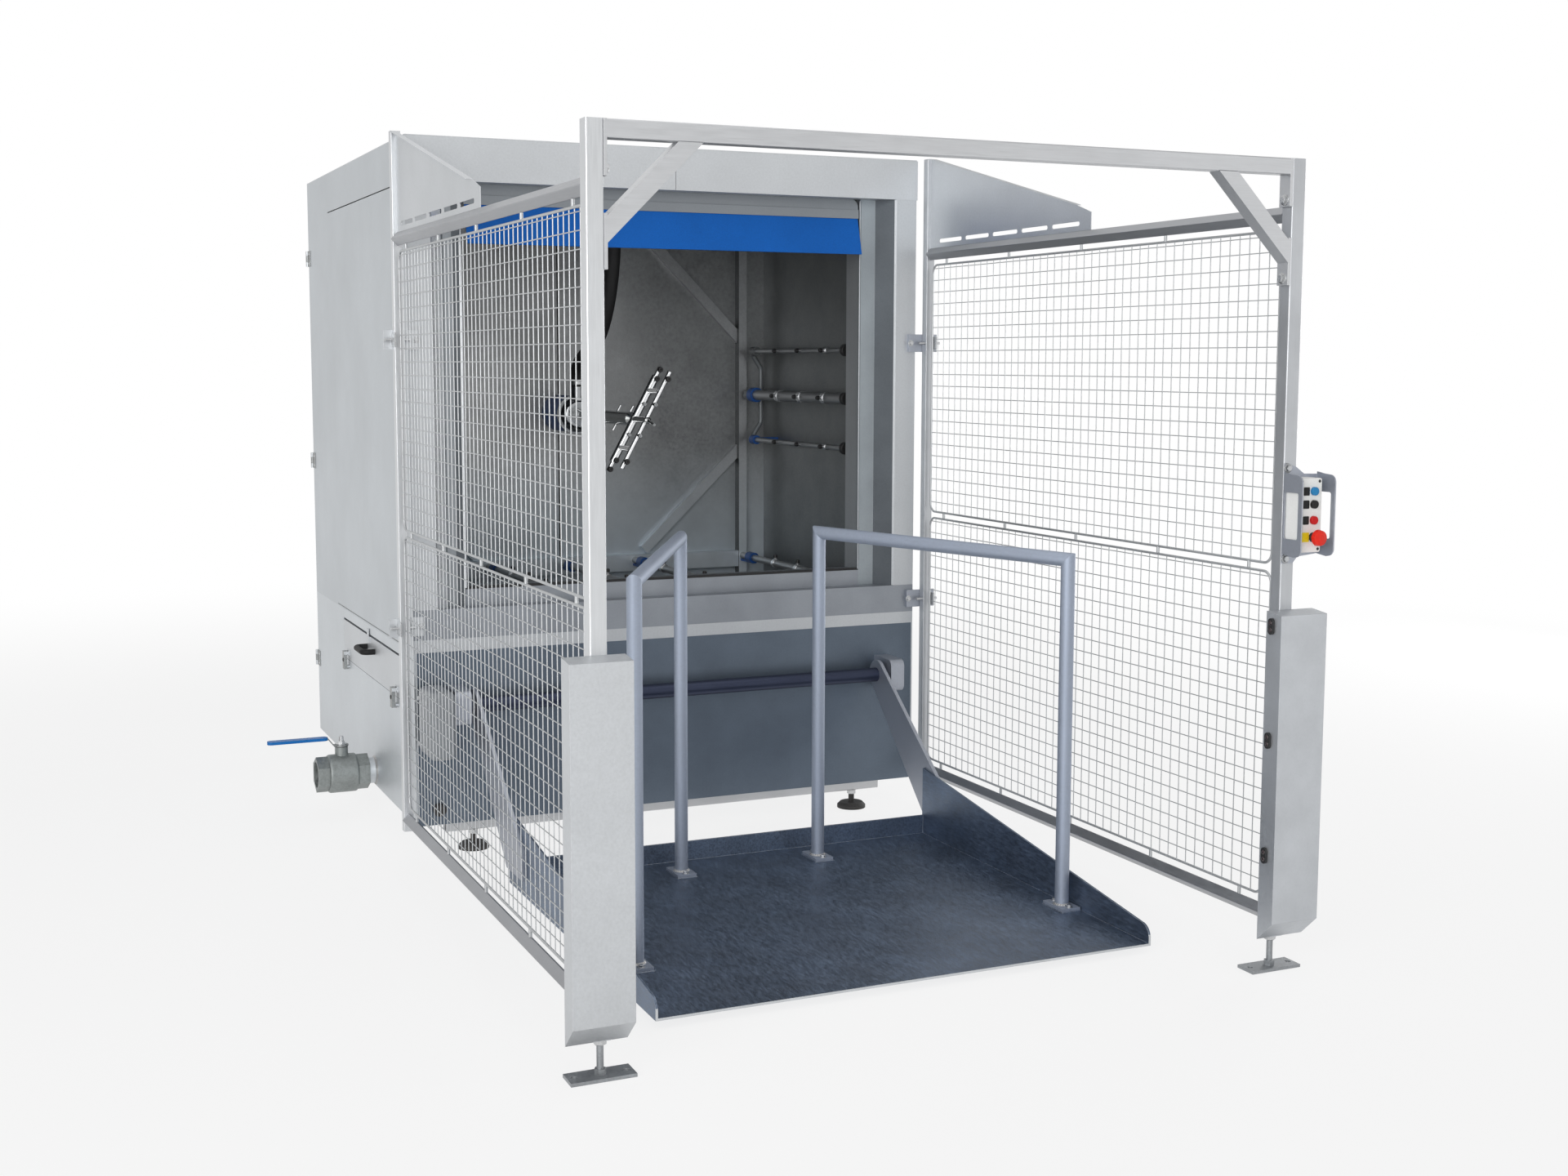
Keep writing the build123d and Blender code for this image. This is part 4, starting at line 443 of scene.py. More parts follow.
drive_paint = finish("drive_paint", (0.30, 0.32, 0.34), drift=0.08, grain_scale=260, bump=0.08, grime=0.15,
                     **PAINT)
pump_paint = finish("pump_paint", (0.06, 0.16, 0.30), drift=0.1, grain_scale=240, bump=0.1, grime=0.25,
                    **PAINT)
print("materials:", len(bpy.data.materials))

# %% [markdown]
# ## Faces that differ within one node
# Inside the mouth and under the sill the sheets get a darker tone than outside: painted shade. The
# jambs change tone at each fold, and the post, cover and hem on the right are darker than those on the
# left: painted shade, and the pale left splay is a painted highlight. Low down in the chamber the sheet
# is paler: painted light. The drain lever is a bare steel shank with a blue sleeve on its grip, the top
# pair of pipe clamps is grey, the bows between the spray pipes are matt, and the platform's front edge
# is bare. A node could be cut up and given several materials, but CAD nodes stay whole, so each of
# these is a finish with a second tone inside a box. The box is given by its spans in the drawing's
# millimetres.

# %% Zone helper
FAR = 9000.0
ANYWHERE, LEFT, RIGHT = (-FAR, FAR), (-FAR, 0.0), (0.0, FAR)
STAIN_SCALE, STAIN_LOW, STAIN_HIGH = 6.0, 0.92, 1.08


def zone(material, tone, x=ANYWHERE, y=ANYWHERE, z=ANYWHERE, metallic=None, soft=SHARP):
    """Replaces the tone, and the metallic value where one is given, inside the box of the three spans.
    The change comes in over the soft distance, in metres, inside the box's faces."""
    tree = material.node_tree
    shader = tree.nodes["Principled BSDF"]
    low, high = place(np.transpose([x, y, z]))
    mask = use_group(tree, box_group, Low=low, High=high, Soft=soft)
    patchy = use_group(tree, grain_group, Scale=STAIN_SCALE, Low=STAIN_LOW, High=STAIN_HIGH)
    # The second tone varies in patches; in several boxes it is painted shade or painted light.
    stain = vector_maths(tree, "SCALE", {0: tone, "Scale": patchy})
    outside = shader.inputs["Base Color"].links[0].from_socket
    tree.links.new(mix_tones(tree, mask, outside, stain), shader.inputs["Base Color"])
    if metallic is not None:
        plain = shader.inputs["Metallic"].default_value
        tree.links.new(map_range(tree, mask, end=(plain, metallic)), shader.inputs["Metallic"])
    return material


def washed(name, tone, dry=(0.58, 0.60, 0.62), **spans):
    """Blasted sheet with a darker tone inside a box: painted shade."""
    return zone(finish(name, dry, **SHEET), tone, **spans)


# %% Cabin and gate zones
WALL_SKIN_X, TANK_SIDE_X = 884.0, 880.0
SPLAY_X, HEM_SHADE_X = 757.0, 730.0
JAMB_FACE_Y, JAMB_RETURN_Y = (1931.0, 1976.0), (1976.0, 2000.0)
TANK_FRONT_Y, SILL_FOOT_Z = (1920.0, 1929.0), 700.0
LEFT_BRACKET_X, BRACKET_Y = (-FAR, -850.0), (1880.0, 2100.0)
PLATFORM_EDGE_Y = 242.5

# Painted shade: the walls' inner faces, between the skins, get a dark tone.
wall_sheet = washed("wall_sheet", (0.24, 0.25, 0.255), dry=(0.575, 0.605, 0.63),
                    x=(-WALL_SKIN_X, WALL_SKIN_X))
# Painted shade on the right splay and on both returns, and a painted highlight on the left splay.
jamb_sheet = washed("jamb_sheet", (0.108, 0.12, 0.133),
                    x=(SPLAY_X, FAR), y=(JAMB_FACE_Y[0], JAMB_RETURN_Y[1]))
zone(jamb_sheet, (0.34, 0.375, 0.40), x=(0.0, SPLAY_X), y=JAMB_RETURN_Y)
zone(jamb_sheet, (0.93, 0.95, 0.97), x=LEFT, y=JAMB_FACE_Y)
zone(jamb_sheet, (0.30, 0.32, 0.34), x=(-FAR, -HEM_SHADE_X), y=JAMB_RETURN_Y)
zone(jamb_sheet, (0.12, 0.132, 0.145), x=(-HEM_SHADE_X, 0.0), y=JAMB_RETURN_Y)
# Painted shade: the post covers, fence posts and hem on the right are darker than on the left.
cover_sheet = washed("cover_sheet", (0.53, 0.55, 0.575), dry=(0.62, 0.64, 0.66), x=RIGHT)
zone(upright_tube, (0.50, 0.515, 0.535), x=RIGHT)
hem_sheet = washed("hem_sheet", (0.36, 0.38, 0.40), dry=(0.66, 0.68, 0.70), x=RIGHT)
# Painted shade: a dark tone on the sill behind the tank's front, above its foot.
sill_sheet = washed("sill_sheet", (0.31, 0.33, 0.36), y=(TANK_FRONT_Y[0], FAR), z=(SILL_FOOT_Z, FAR))
# Painted shade with a blue cast on the tank's front.
tank_sheet = washed("tank_sheet", (0.138, 0.17, 0.212), dry=(0.64, 0.67, 0.695),
                    x=(-TANK_SIDE_X, TANK_SIDE_X), y=TANK_FRONT_Y)
# The left fence brackets take a pale sheet tone instead, without the painted shade.
zone(bracket_sheet, (0.62, 0.64, 0.66), x=LEFT_BRACKET_X, y=BRACKET_Y)
zone(scuffed, (0.60, 0.62, 0.64), y=(-FAR, PLATFORM_EDGE_Y))
two_toned = [wall_sheet, jamb_sheet, cover_sheet, upright_tube, hem_sheet, sill_sheet, tank_sheet]
print("two tones:", [material.name for material in two_toned + [bracket_sheet, scuffed]])

# %% Chamber and lever zones
LIME_TOP, LIME_FADE = 1300.0, 0.6
POST_SIDE_X, POST_FRONT_Y = (751.0, 753.4), 3100.0
BOW_Y, BOW_Z = 3120.0, (1270.0, 1604.0)
AXIS_Z, ROTOR_R = 1372.0, 24.5
ARM_LINKS_Y = (2234.0, 2325.0)
TOP_CLAMPS_Z, SLEEVE_END_X = (1560.0, 1700.0), -1048.0

# Painted light: low down, the chamber's sheets and ribs turn paler and less metallic.
for sheet, lime_tone in ((chamber, (0.70, 0.78, 0.84)), (rib_sheet, (0.78, 0.86, 0.92))):
    zone(sheet, lime_tone, z=(-FAR, LIME_TOP), metallic=0.4, soft=LIME_FADE)
# Painted shade: a dark tone on the left face of the right corner post, in the gap next to the back wall.
zone(rib_sheet, (0.10, 0.105, 0.11), x=POST_SIDE_X, y=(POST_FRONT_Y, FAR))
zone(spray_pipe, (0.21, 0.225, 0.235), y=(BOW_Y, FAR), z=BOW_Z, metallic=0.3)
zone(rotor_tube, (0.42, 0.43, 0.425), x=(-ROTOR_R, ROTOR_R), z=(AXIS_Z - ROTOR_R, AXIS_Z + ROTOR_R))
zone(arm_steel, (0.90, 0.91, 0.91), y=ARM_LINKS_Y, metallic=0.35)
zone(clamp_blue, (0.20, 0.21, 0.215), z=TOP_CLAMPS_Z, metallic=0.8)
zone(sleeved, (0.26, 0.27, 0.27), x=(SLEEVE_END_X, FAR), metallic=1.0)
two_toned = [chamber, rib_sheet, spray_pipe, rotor_tube, arm_steel, clamp_blue, sleeved]
print("two tones:", [material.name for material in two_toned])

# %% [markdown]
# ## Dress the CAD nodes
# Each node from the frame keeps its mesh and gets one of the finishes. The table below goes by
# finish, so that a reader can see at once what is made of what.

# %% Finishes on nodes
wears = {
    carrier_sheet: ["flap_carrier"],
    blasted: ["roof_panel", "front_header", "rear_door_left", "rear_door_right", "drawer_front",
              "splash_sheets"],
    cover_sheet: ["post_covers"],
    bracket_sheet: ["panel_bracket", "fence_brackets", "cradle_arms", "cradle_bearings"],
    wall_sheet: ["left_wall", "right_wall"],
    jamb_sheet: ["front_jambs"],
    sill_sheet: ["sill_apron"],
    tank_sheet: ["sump_tank"],
    chamber: ["chamber_back_wall", "filter_basket"],
    rib_sheet: ["chamber_ribs"],
    upright_tube: ["fence_posts"],
    foot_steel: ["gate_feet"],
    hinge_steel: ["door_hinges", "front_latch_lever", "rear_latch_lever"],
    long_tube: ["fence_rails"],
    cross_tube: ["gate_portal", "base_bars"],
    dark_shaft: ["torque_tube"],
    loop_tube: ["left_loop", "right_loop"],
    spray_pipe: ["side_spray_bars", "floor_spray_pipes", "pump_pipes"],
    rotor_tube: ["rotor_pipe"],
    arm_steel: ["rotor_arms"],
    mesh_wire: ["mesh_frames", "mesh_wires"],
    scuffed: ["platform"],
    polished: ["hub_housing", "drain_valve_ball"],
    cast: ["drain_valve_body"],
    flap_blue: ["splash_flap"],
    moulded_blue: ["hub_flange"],
    clamp_blue: ["pipe_clamps"],
    sleeved: ["drain_valve_lever"],
    moulded_black: ["pipe_end_caps", "photo_eyes"],
    handle_black: ["drawer_handle"],
    rubber: ["sill_seal", "levelling_feet", "feed_hose"],
    white_case: ["panel_box"],
    blue_key: ["start_button"],
    black_key: ["cycle_button"],
    red_key: ["emergency_button"],
    stop_key: ["stop_button"],
    drive_paint: ["rotor_drive", "tilt_gearmotor"],
    pump_paint: ["wash_pump"],
}
for material, names in wears.items():
    for name in names:
        nodes[name].data.materials.clear()
        nodes[name].data.materials.append(material)
bare = sorted(set(nodes) - {name for names in wears.values() for name in names})
print("dressed:", sum(len(names) for names in wears.values()), "bare:", bare)

# %% [markdown]
# ## Shapes from arrays
# Small hardware repeats many times, so each kind is one template and a list of places. A turned shape
# is a grid of rings, a bar is two rings, and a stamp copies a template into every place at once. Linked
# copies of objects could do this too, but one mesh per kind keeps the list of pieces short. The arrays
# hold whole rings, so nothing here loops over vertices. A shape is its points, its four-sided faces and
# the faces that cap its ends.

# %% Grids and turned shapes


def circle(sides):
    """Points (cos a, sin a) at equal steps of a."""
    angle = np.arange(sides) * 2 * np.pi / sides
    return np.stack([np.cos(angle), np.sin(angle)], axis=-1)


def grid_faces(rings, sides):
    """Quads between neighbouring rings of a grid that closes on itself sideways."""
    row = np.arange(rings - 1)[:, None] * sides
    here, there = np.arange(sides), (np.arange(sides) + 1) % sides
    quads = np.stack([row + here, row + there, row + sides + there, row + sides + here], axis=-1)
    return quads.reshape(-1, 4)


def end_caps(rings, sides):
    """The first ring turned round and the last ring, each as one face."""
    return np.stack([np.arange(sides)[::-1], np.arange(sides) + (rings - 1) * sides])


def turned(profile, sides):
    """Grid of rings: (r cos a, r sin a, h) for each (r, h) of the profile, closed by caps at both ends."""
    radius, height = np.asarray(profile, float).T
    level = np.broadcast_to(height[:, None, None], (len(radius), sides, 1))
    rings = np.concatenate([radius[:, None, None] * circle(sides), level], axis=-1)
    return rings.reshape(-1, 3), grid_faces(len(radius), sides), end_caps(len(radius), sides)


def hoop(section, sides):
    """A closed section of (r, h) points turned all the way round: a ring with no ends to cap."""
    closed = np.vstack([section, section[:1]])
    points, quads, _ = turned(closed, sides)
    count = len(section) * sides
    return points[:count], quads % count, np.empty((0, sides), int)


def band(inner, wall, width):
    """Section of a ring with rounded outer edges, as (r, h) points."""
    soft = 0.35 * wall
    half = width / 2
    return np.array([(inner, -half), (inner + wall - soft, -half), (inner + wall, -half + soft),
                     (inner + wall, half - soft), (inner + wall - soft, half), (inner, half)])


print("a ring of six sides has", len(hoop(band(1.0, 1.0, 1.0), 6)[1]), "faces")

# %% Stamps and bars


def axes_from(directions):
    """For each direction, three square axes as columns with the direction last."""
    along = np.asarray(directions, float)
    along = along / np.linalg.norm(along, axis=1, keepdims=True)
    aside = np.where(np.abs(along[:, 2:]) > 0.9, [[1.0, 0, 0]], [[0, 0, 1.0]])
    first = np.cross(aside, along)
    first /= np.linalg.norm(first, axis=1, keepdims=True)
    return np.stack([first, np.cross(along, first), along], axis=-1)


def repeated(faces, copies, count):
    """The faces of each copy of a shape that has count points."""
    step = np.arange(copies)[:, None, None] * count
    return (faces + step).reshape(-1, faces.shape[1])


def stamp(template, points, directions):
    """The template at each point, its own Z turned to each direction."""
    shape, quads, caps = template
    turns = axes_from(np.broadcast_to(directions, (len(points), 3)))
    placed = np.einsum("kij,nj->kni", turns, shape) + np.asarray(points, float)[:, None, :]
    copies, count = placed.shape[:2]
    return placed.reshape(-1, 3), repeated(quads, copies, count), repeated(caps, copies, count)


def bars(starts, ends, radius, sides=8):
    """Round bars: a ring of the radius about each start and each end, square to the line between."""
    starts, ends = np.asarray(starts, float), np.asarray(ends, float)
    ring = radius * np.column_stack([circle(sides), np.zeros(sides)])
    offset = np.einsum("kij,nj->kni", axes_from(ends - starts), ring)
    points = np.concatenate([starts[:, None] + offset, ends[:, None] + offset], axis=1)
    copies, count = points.shape[:2]
    quads, caps = grid_faces(2, sides), end_caps(2, sides)
    return points.reshape(-1, 3), repeated(quads, copies, count), repeated(caps, copies, count)


# %% Pieces and mirror images
SHARP_ANGLE = math.radians(35)
MIRROR = [-1, 1, 1]


def piece(name, shapes, body, material):
    """Joins shapes drawn in millimetres into one mesh that rides on a body."""
    points, faces, count = [], [], 0
    for shape, quads, caps in shapes:
        points.append(shape)
        faces += (quads + count).tolist() + (caps + count).tolist()
        count += len(shape)
    mesh = bpy.data.meshes.new(name)
    mesh.from_pydata(place(np.concatenate(points)).tolist(), [], faces)
    mesh.shade_smooth()
    mesh.set_sharp_from_angle(angle=SHARP_ANGLE)
    mesh.materials.append(material)
    made = bpy.data.objects.new(name, mesh)
    scene.collection.objects.link(made)
    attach(made, body)
    print(name, "faces", len(faces))
    return made


def both_sides(points):
    """Places on the right side of the machine and their mirror images on the left."""
    points = np.asarray(points, float)
    return np.concatenate([points, points * MIRROR])


# %% [markdown]
# ## Feed hose
# The hose leaves the pipe under the roof, drops in a long slack bend and turns back to the hub. Its
# route is a smooth spline through the drawing's points, and a round section is carried along it. A
# curve with a bevel would look alike, but an array of rings gives a plain mesh and a line to measure.
# A steel band holds each end.

# %% Hose route
hose_route = np.array([[0, 2545, 2130], [0, 2545, 2040], [0, 2566, 1900], [0, 2623, 1770], [0, 2704, 1674],
                       [0, 2805, 1620], [0, 2900, 1590], [0, 2983, 1548], [0, 2983, 1478]], float)
line = bpy.data.curves.new("hose_line", "CURVE")
line.dimensions = "3D"
spline = line.splines.new("NURBS")
spline.points.add(len(hose_route) - 1)
spline.points.foreach_set("co", np.column_stack([hose_route, np.ones(len(hose_route))]).ravel())
spline.order_u = 3
spline.use_endpoint_u = True
spline.resolution_u = 10
line_object = bpy.data.objects.new("hose_line", line)
scene.collection.objects.link(line_object)
bpy.context.view_layer.update()
drawn = bpy.data.meshes.new_from_object(line_object)
path = np.empty(len(drawn.vertices) * 3)
drawn.vertices.foreach_get("co", path)
path = path.reshape(-1, 3)
bpy.data.objects.remove(line_object)
bpy.data.meshes.remove(drawn)

# %% Hose and bands
HOSE_R, HOSE_SIDES = 28.0, 24
BAND_WALL, BAND_WIDTH, BAND_SIDES = 1.6, 13.0, 32
BAND_SPOTS = [[0, 2545.0, 2108.0], [0, 2983.0, 1492.0]]


def carried_round(path, radius, sides):
    """A circle carried along a path: point + r (cos a * aside + sin a * above) on each step."""
    along = np.gradient(path, axis=0)
    along /= np.linalg.norm(along, axis=1, keepdims=True)
    above = np.cross([[1.0, 0, 0]], along)
    above /= np.linalg.norm(above, axis=1, keepdims=True)
    aside = np.cross(along, above)
    across, upward = circle(sides).T[:, None, :, None]
    rings = path[:, None] + radius * (across * aside[:, None] + upward * above[:, None])
    return rings.reshape(-1, 3), grid_faces(len(path), sides), end_caps(len(path), sides)


hose = piece("feed_hose_rubber", [carried_round(path, HOSE_R, HOSE_SIDES)], "base", rubber)
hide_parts("feed_hose")
ring = hoop(band(HOSE_R, BAND_WALL, BAND_WIDTH), BAND_SIDES)
hose_bands = piece("hose_bands", [stamp(ring, BAND_SPOTS, [0, 0, 1])], "base", bright_bolt)

# %% [markdown]
# ## Fence mesh
# Real mesh is round wire welded at every crossing. The frame carries square bars for each wire, so
# round wires take their places: upright ones inside, rows outside, touching where they cross. Six
# sides are enough for a wire this thin, and there are hundreds of them.

# %% Mesh wires
FENCE_X, WIRE_R, WIRE_SIDES, PITCH_MM = 920.0, 1.4, 6, 40.0
PANELS = np.array([[184.0, 1035.0], [1057.0, 1902.0]])
PANEL_Y = np.array([60.0, 1865.0])
UPRIGHTS, ROWS, FIRST_UPRIGHT, FIRST_ROW = 44, 21, 102.5, 12.0
UPRIGHT_GAP, ROW_GAP, TOP_ROW_GAP = 2.0, 2.5, 11.0

upright_y = FIRST_UPRIGHT + PITCH_MM * np.arange(UPRIGHTS)
row_drop = FIRST_ROW + PITCH_MM * np.arange(ROWS)
row_gap = np.where(row_drop == FIRST_ROW, TOP_ROW_GAP, ROW_GAP)
wires = []
for low_z, high_z in PANELS:
    foot_z = np.full(UPRIGHTS, low_z + UPRIGHT_GAP)
    foot = np.stack([np.full(UPRIGHTS, FENCE_X - WIRE_R), upright_y, foot_z], axis=-1)
    to_top = [0, 0, high_z - low_z - 2 * UPRIGHT_GAP]
    front = np.stack([np.full(ROWS, FENCE_X + WIRE_R), PANEL_Y[0] + row_gap, high_z - row_drop], axis=-1)
    to_back = np.stack([np.zeros(ROWS), PANEL_Y[1] - PANEL_Y[0] - 2 * row_gap, np.zeros(ROWS)], axis=-1)
    for side in ([1, 1, 1], MIRROR):
        wires.append(bars(foot * side, (foot + to_top) * side, WIRE_R, WIRE_SIDES))
        wires.append(bars(front * side, (front + to_back) * side, WIRE_R, WIRE_SIDES))
fence_wires = piece("fence_wires", wires, "base", mesh_wire)
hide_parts("mesh_wires")

# %% [markdown]
# ## Bolts, nuts and screws
# A bolt is a washer, a six-sided head with a bevelled rim, and nothing else that shows. The gate's
# end plates, the fence brackets, the hinges and the loops' feet each have their own. Studs pass through
# the rear posts and stand out of their nuts. Threads would be too small to see, so there are none.

# %% Bolt templates


def bolt(width, washer=True):
    """Washer and hexagon head; width is across the flats, sizes follow the usual bolt proportions."""
    corner = width / math.sqrt(3)
    thick = 0.12 * width if washer else 0.0
    tall = thick + 0.42 * width
    head = turned([(corner, thick), (corner, tall - 0.07 * width), (0.86 * corner, tall),
                   (0.3 * corner, tall)], 6)
    disc = turned([(0.82 * width, 0), (0.82 * width, thick * 0.7), (0.76 * width, thick),
                   (0.3 * width, thick)], 20)
    return [head, disc] if washer else [head]


def bolts(places, directions, width, washer=True):
    """One stamp for each part of the bolt."""
    return [stamp(part, places, directions) for part in bolt(width, washer)]


def dome(radius, height):
    """Screw head: a quarter ellipse turned round, with a tiny flat at its top."""
    angle = np.linspace(0, np.pi / 2, 5)
    return turned(np.stack([radius * np.cos(angle) + 0.02, height * np.sin(angle)], axis=-1), 12)


def rounded_plate(width, tall, thick, corner, steps=5):
    """A plate with round corners: four quarter arcs joined into one outline, with a bevelled rim."""
    angle = np.linspace(0, np.pi / 2, steps)
    arc = np.stack([np.cos(angle), np.sin(angle)], axis=-1)
    outline = []
    for i, sign in enumerate(np.array([[1, 1], [-1, 1], [-1, -1], [1, -1]], float)):
        quarter = (arc if i % 2 == 0 else arc[::-1]) * sign * corner
        outline.append(quarter + sign * (np.array([width, tall]) / 2 - corner))
    rim = np.concatenate(outline)
    levels = [(rim, 0.0), (rim, 0.7 * thick), (0.92 * rim, thick)]
    points = np.concatenate([np.column_stack([ring, np.full(len(ring), h)]) for ring, h in levels])
    return points, grid_faces(3, len(rim)), end_caps(3, len(rim))


print("a bolt has", sum(len(part[1]) for part in bolt(13)), "side faces")

# %% Fixed bolts and studs
M8_FLATS, M10_FLATS, PANEL_FLATS = 13, 17, 15
BRACKET_Z, PANEL_Z = (747.0, 1637.0), (1076.0, 1306.0)
MOTOR_Y, MOTOR_Z, MOTOR_HALF_Y, MOTOR_HALF_Z = 1827.5, 455.0, 50.0, 72.0
STUD_R, STUD_IN, STUD_OUT, STUD_SIDES = 5.0, 55.0, 24.0, 12
POST_PLATE, PLATE_INSET = dict(width=60, tall=44, thick=4, corner=3), 3.2

right_plates = np.array([[892.0, 20.0, z] for z in (1974.0, 1780.0)])
left_plates = right_plates[:1] * MIRROR
right_posts = np.array([[938.0, 1893.0, z] for z in BRACKET_Z])
left_posts = right_posts * MIRROR
bracket_bolts = both_sides([[862.0, 1912.0, z] for z in BRACKET_Z])
motor_bolts = np.array([[-880.0, MOTOR_Y + dy, MOTOR_Z + dz] for dy in (-MOTOR_HALF_Y, MOTOR_HALF_Y)
                        for dz in (-MOTOR_HALF_Z, MOTOR_HALF_Z)])
fixed = bolts(right_plates, [-1, 0, 0], M10_FLATS) + bolts(left_plates, [1, 0, 0], M10_FLATS)
fixed += bolts(right_posts, [1, 0, 0], M8_FLATS) + bolts(left_posts, [-1, 0, 0], M8_FLATS)
fixed += bolts(bracket_bolts, [0, -1, 0], M8_FLATS)
fixed += bolts(motor_bolts, [-1, 0, 0], M8_FLATS, washer=False)
for posts, out in ((right_posts, 1), (left_posts, -1)):
    fixed.append(bars(posts - [out * STUD_IN, 0, 0], posts + [out * STUD_OUT, 0, 0], STUD_R, STUD_SIDES))
    fixed.append(stamp(rounded_plate(**POST_PLATE), posts - [out * PLATE_INSET, 0, 0], [out, 0, 0]))
piece("fixed_bolts", fixed, "base", bright_bolt)
panel_bolts = np.array([[910.0, -3.0, z] for z in PANEL_Z])
piece("panel_bolts", bolts(panel_bolts, [0, -1, 0], PANEL_FLATS), "base", polished)

# %% Hinge screws and latch pivots
HINGE_Z, SCREW_STEP = (394.0, 1183.0, 1970.0), (-18.0, 18.0)
LATCHES_Y, LATCH_X, LATCH_Z = {"front": 2184.0, "rear": 3000.0}, -905.0, 480.0

screw_z = [z + step for z in HINGE_Z for step in SCREW_STEP]
screw_head = dome(5.0, 2.6)
leaf_screws = np.array([[888.0, 3600.0, z] for z in screw_z])
heads = [stamp(screw_head, leaf_screws, [1, 0, 0]), stamp(screw_head, leaf_screws * MIRROR, [-1, 0, 0])]
piece("hinge_screws", heads, "base", bright_bolt)
door_screws = np.array([[860.0, 3638.0, z] for z in screw_z])
for door, screws in (("right_door", door_screws), ("left_door", door_screws * MIRROR)):
    piece(door + "_screws", [stamp(screw_head, screws, [0, 1, 0])], door, bright_bolt)
for side, y in LATCHES_Y.items():
    pivot = stamp(dome(8.0, 3.0), [[LATCH_X, y, LATCH_Z]], [-1, 0, 0])
    piece(side + "_latch_pivot", [pivot], side + "_latch", moulded_black)

# %% Cradle bolts and levelling nuts
LOOP_SHIFT, LOOP_BOLT_STEP = [23.0, 0, 0], (-37.0, 37.0)
PADS_Y = (1996.0, 2469.0, 3091.0, 3564.0)
NUT_CORNER, NUT_TALL, NUT_BEVEL = 13 / 0.866, 16.0, 1.2
LEVER_FLATS = 22

leg_feet = both_sides([[643.0, 613.0, 35.0], [229.0, 1363.0, 35.0]]) + LOOP_SHIFT
loop_bolts = np.concatenate([leg_feet + [0, step, 0] for step in LOOP_BOLT_STEP])
piece("loop_foot_bolts", bolts(loop_bolts, [0, 0, 1], M8_FLATS), "cradle", bright_bolt)

nut = turned([(NUT_CORNER * 0.9, 0), (NUT_CORNER, NUT_BEVEL), (NUT_CORNER, NUT_TALL - NUT_BEVEL),
              (NUT_CORNER * 0.9, NUT_TALL)], 6)
pad_nuts = both_sides([[685.0, y, 48.0] for y in PADS_Y])
post_nuts = both_sides([[918.0, 19.0, 76.0]])
nuts = [stamp(nut, spots, [0, 0, 1]) for spots in (pad_nuts, post_nuts)]
piece("levelling_nuts", nuts, "base", bright_bolt)
lever_spot = np.array([[-1000.0, 2560.0, 258.0]])
stem = turned([(8.0, 0), (8.0, 26.0), (6.5, 28.0), (0.5, 28.0)], 20)
lever_nut = bolts(lever_spot, [0, 0, 1], LEVER_FLATS) + [stamp(stem, lever_spot, [0, 0, 1])]
piece("lever_nut", lever_nut, "drain_handle", bright_bolt)

# %% [markdown]
# ## Nozzles and clips
# Each stub on a spray pipe carries a black nozzle with a hole in its face. The first nozzle of every
# small side pipe sits in a bright spring clip, and so does each nozzle of the large side pipes and of
# the floor pipes. A nozzle is turned from one profile that runs up its side, over its face and down
# into the hole, so the hole needs no cutting.

# %% Nozzles and clips on the pipes
BEHIND_TIP = 0.4


def nozzle(radius, length):
    """A cap that tapers to its face, where a hole of 0.35 radius sinks in by half the length."""
    return turned([(radius, 0), (radius, 0.55 * length), (0.8 * radius, length), (0.35 * radius, length),
                   (0.35 * radius, 0.5 * length), (0.05 * radius, 0.5 * length)], 16)


def nozzles(spots, way, stub, radius=8.0, length=12.0):
    """Caps that start on the stubs, behind their tips by a share of the length."""
    way = np.asarray(way, float)
    return stamp(nozzle(radius, length), np.asarray(spots, float) + way * (stub - BEHIND_TIP * length), way)


def clip(pipe_r, width, sides):
    """A spring clip round a pipe."""
    return hoop(band(pipe_r, CLIP_WALL, width), sides)


JET_Y, JET_OUT, CLIP_WALL = (2430.0, 2640.0, 2850.0), 14.0, 3.0
SMALL_R, LARGE_R, FLOOR_R = 10.0, 21.0, 13.5
SIDE_PIPE_X, SMALL_Z, LARGE_Z = 787.0, (1259.0, 1615.0), 1440.0
FLOOR_PIPES_X, FLOOR_PIPE_Z = (-770.0, -300.0, 0.0, 300.0, 770.0), 780.0

small_jets = np.array([[SIDE_PIPE_X, y, z] for y in JET_Y for z in SMALL_Z])
large_jets = np.array([[SIDE_PIPE_X, y, LARGE_Z] for y in JET_Y])
floor_jets = np.array([[x, y, FLOOR_PIPE_Z] for x in FLOOR_PIPES_X for y in JET_Y])
caps = [nozzles(floor_jets, [0, 0, 1], FLOOR_R + JET_OUT)]
for side in (1, -1):
    for jets, pipe_r in ((small_jets, SMALL_R), (large_jets, LARGE_R)):
        caps.append(nozzles(jets * [side, 1, 1], [-side, 0, 0], pipe_r + JET_OUT))
piece("pipe_nozzles", caps, "base", moulded_black)
clips = [stamp(clip(SMALL_R, 26.0, 24), both_sides(small_jets[:len(SMALL_Z)]), [0, 1, 0]),
         stamp(clip(LARGE_R, 26.0, 28), both_sides(large_jets), [0, 1, 0]),
         stamp(clip(FLOOR_R, 22.0, 24), floor_jets, [0, 1, 0])]
piece("nozzle_clips", clips, "base", rotor_steel)

# %% Nozzles and studs on the rotor
ARM_TILT = math.radians(28.4)
REAR_Y, FRONT_Y = 2341.0, 2224.0
REAR_R, FRONT_R = 14, 8
OUTER, END, INNER = 160.0, 196.0, 60.0
ARM_CAP_R, END_CAP, STUD_CAP_R, STUD_CAP = 10, 14, 7.5, 9
FORWARD = [0, -1, 0]

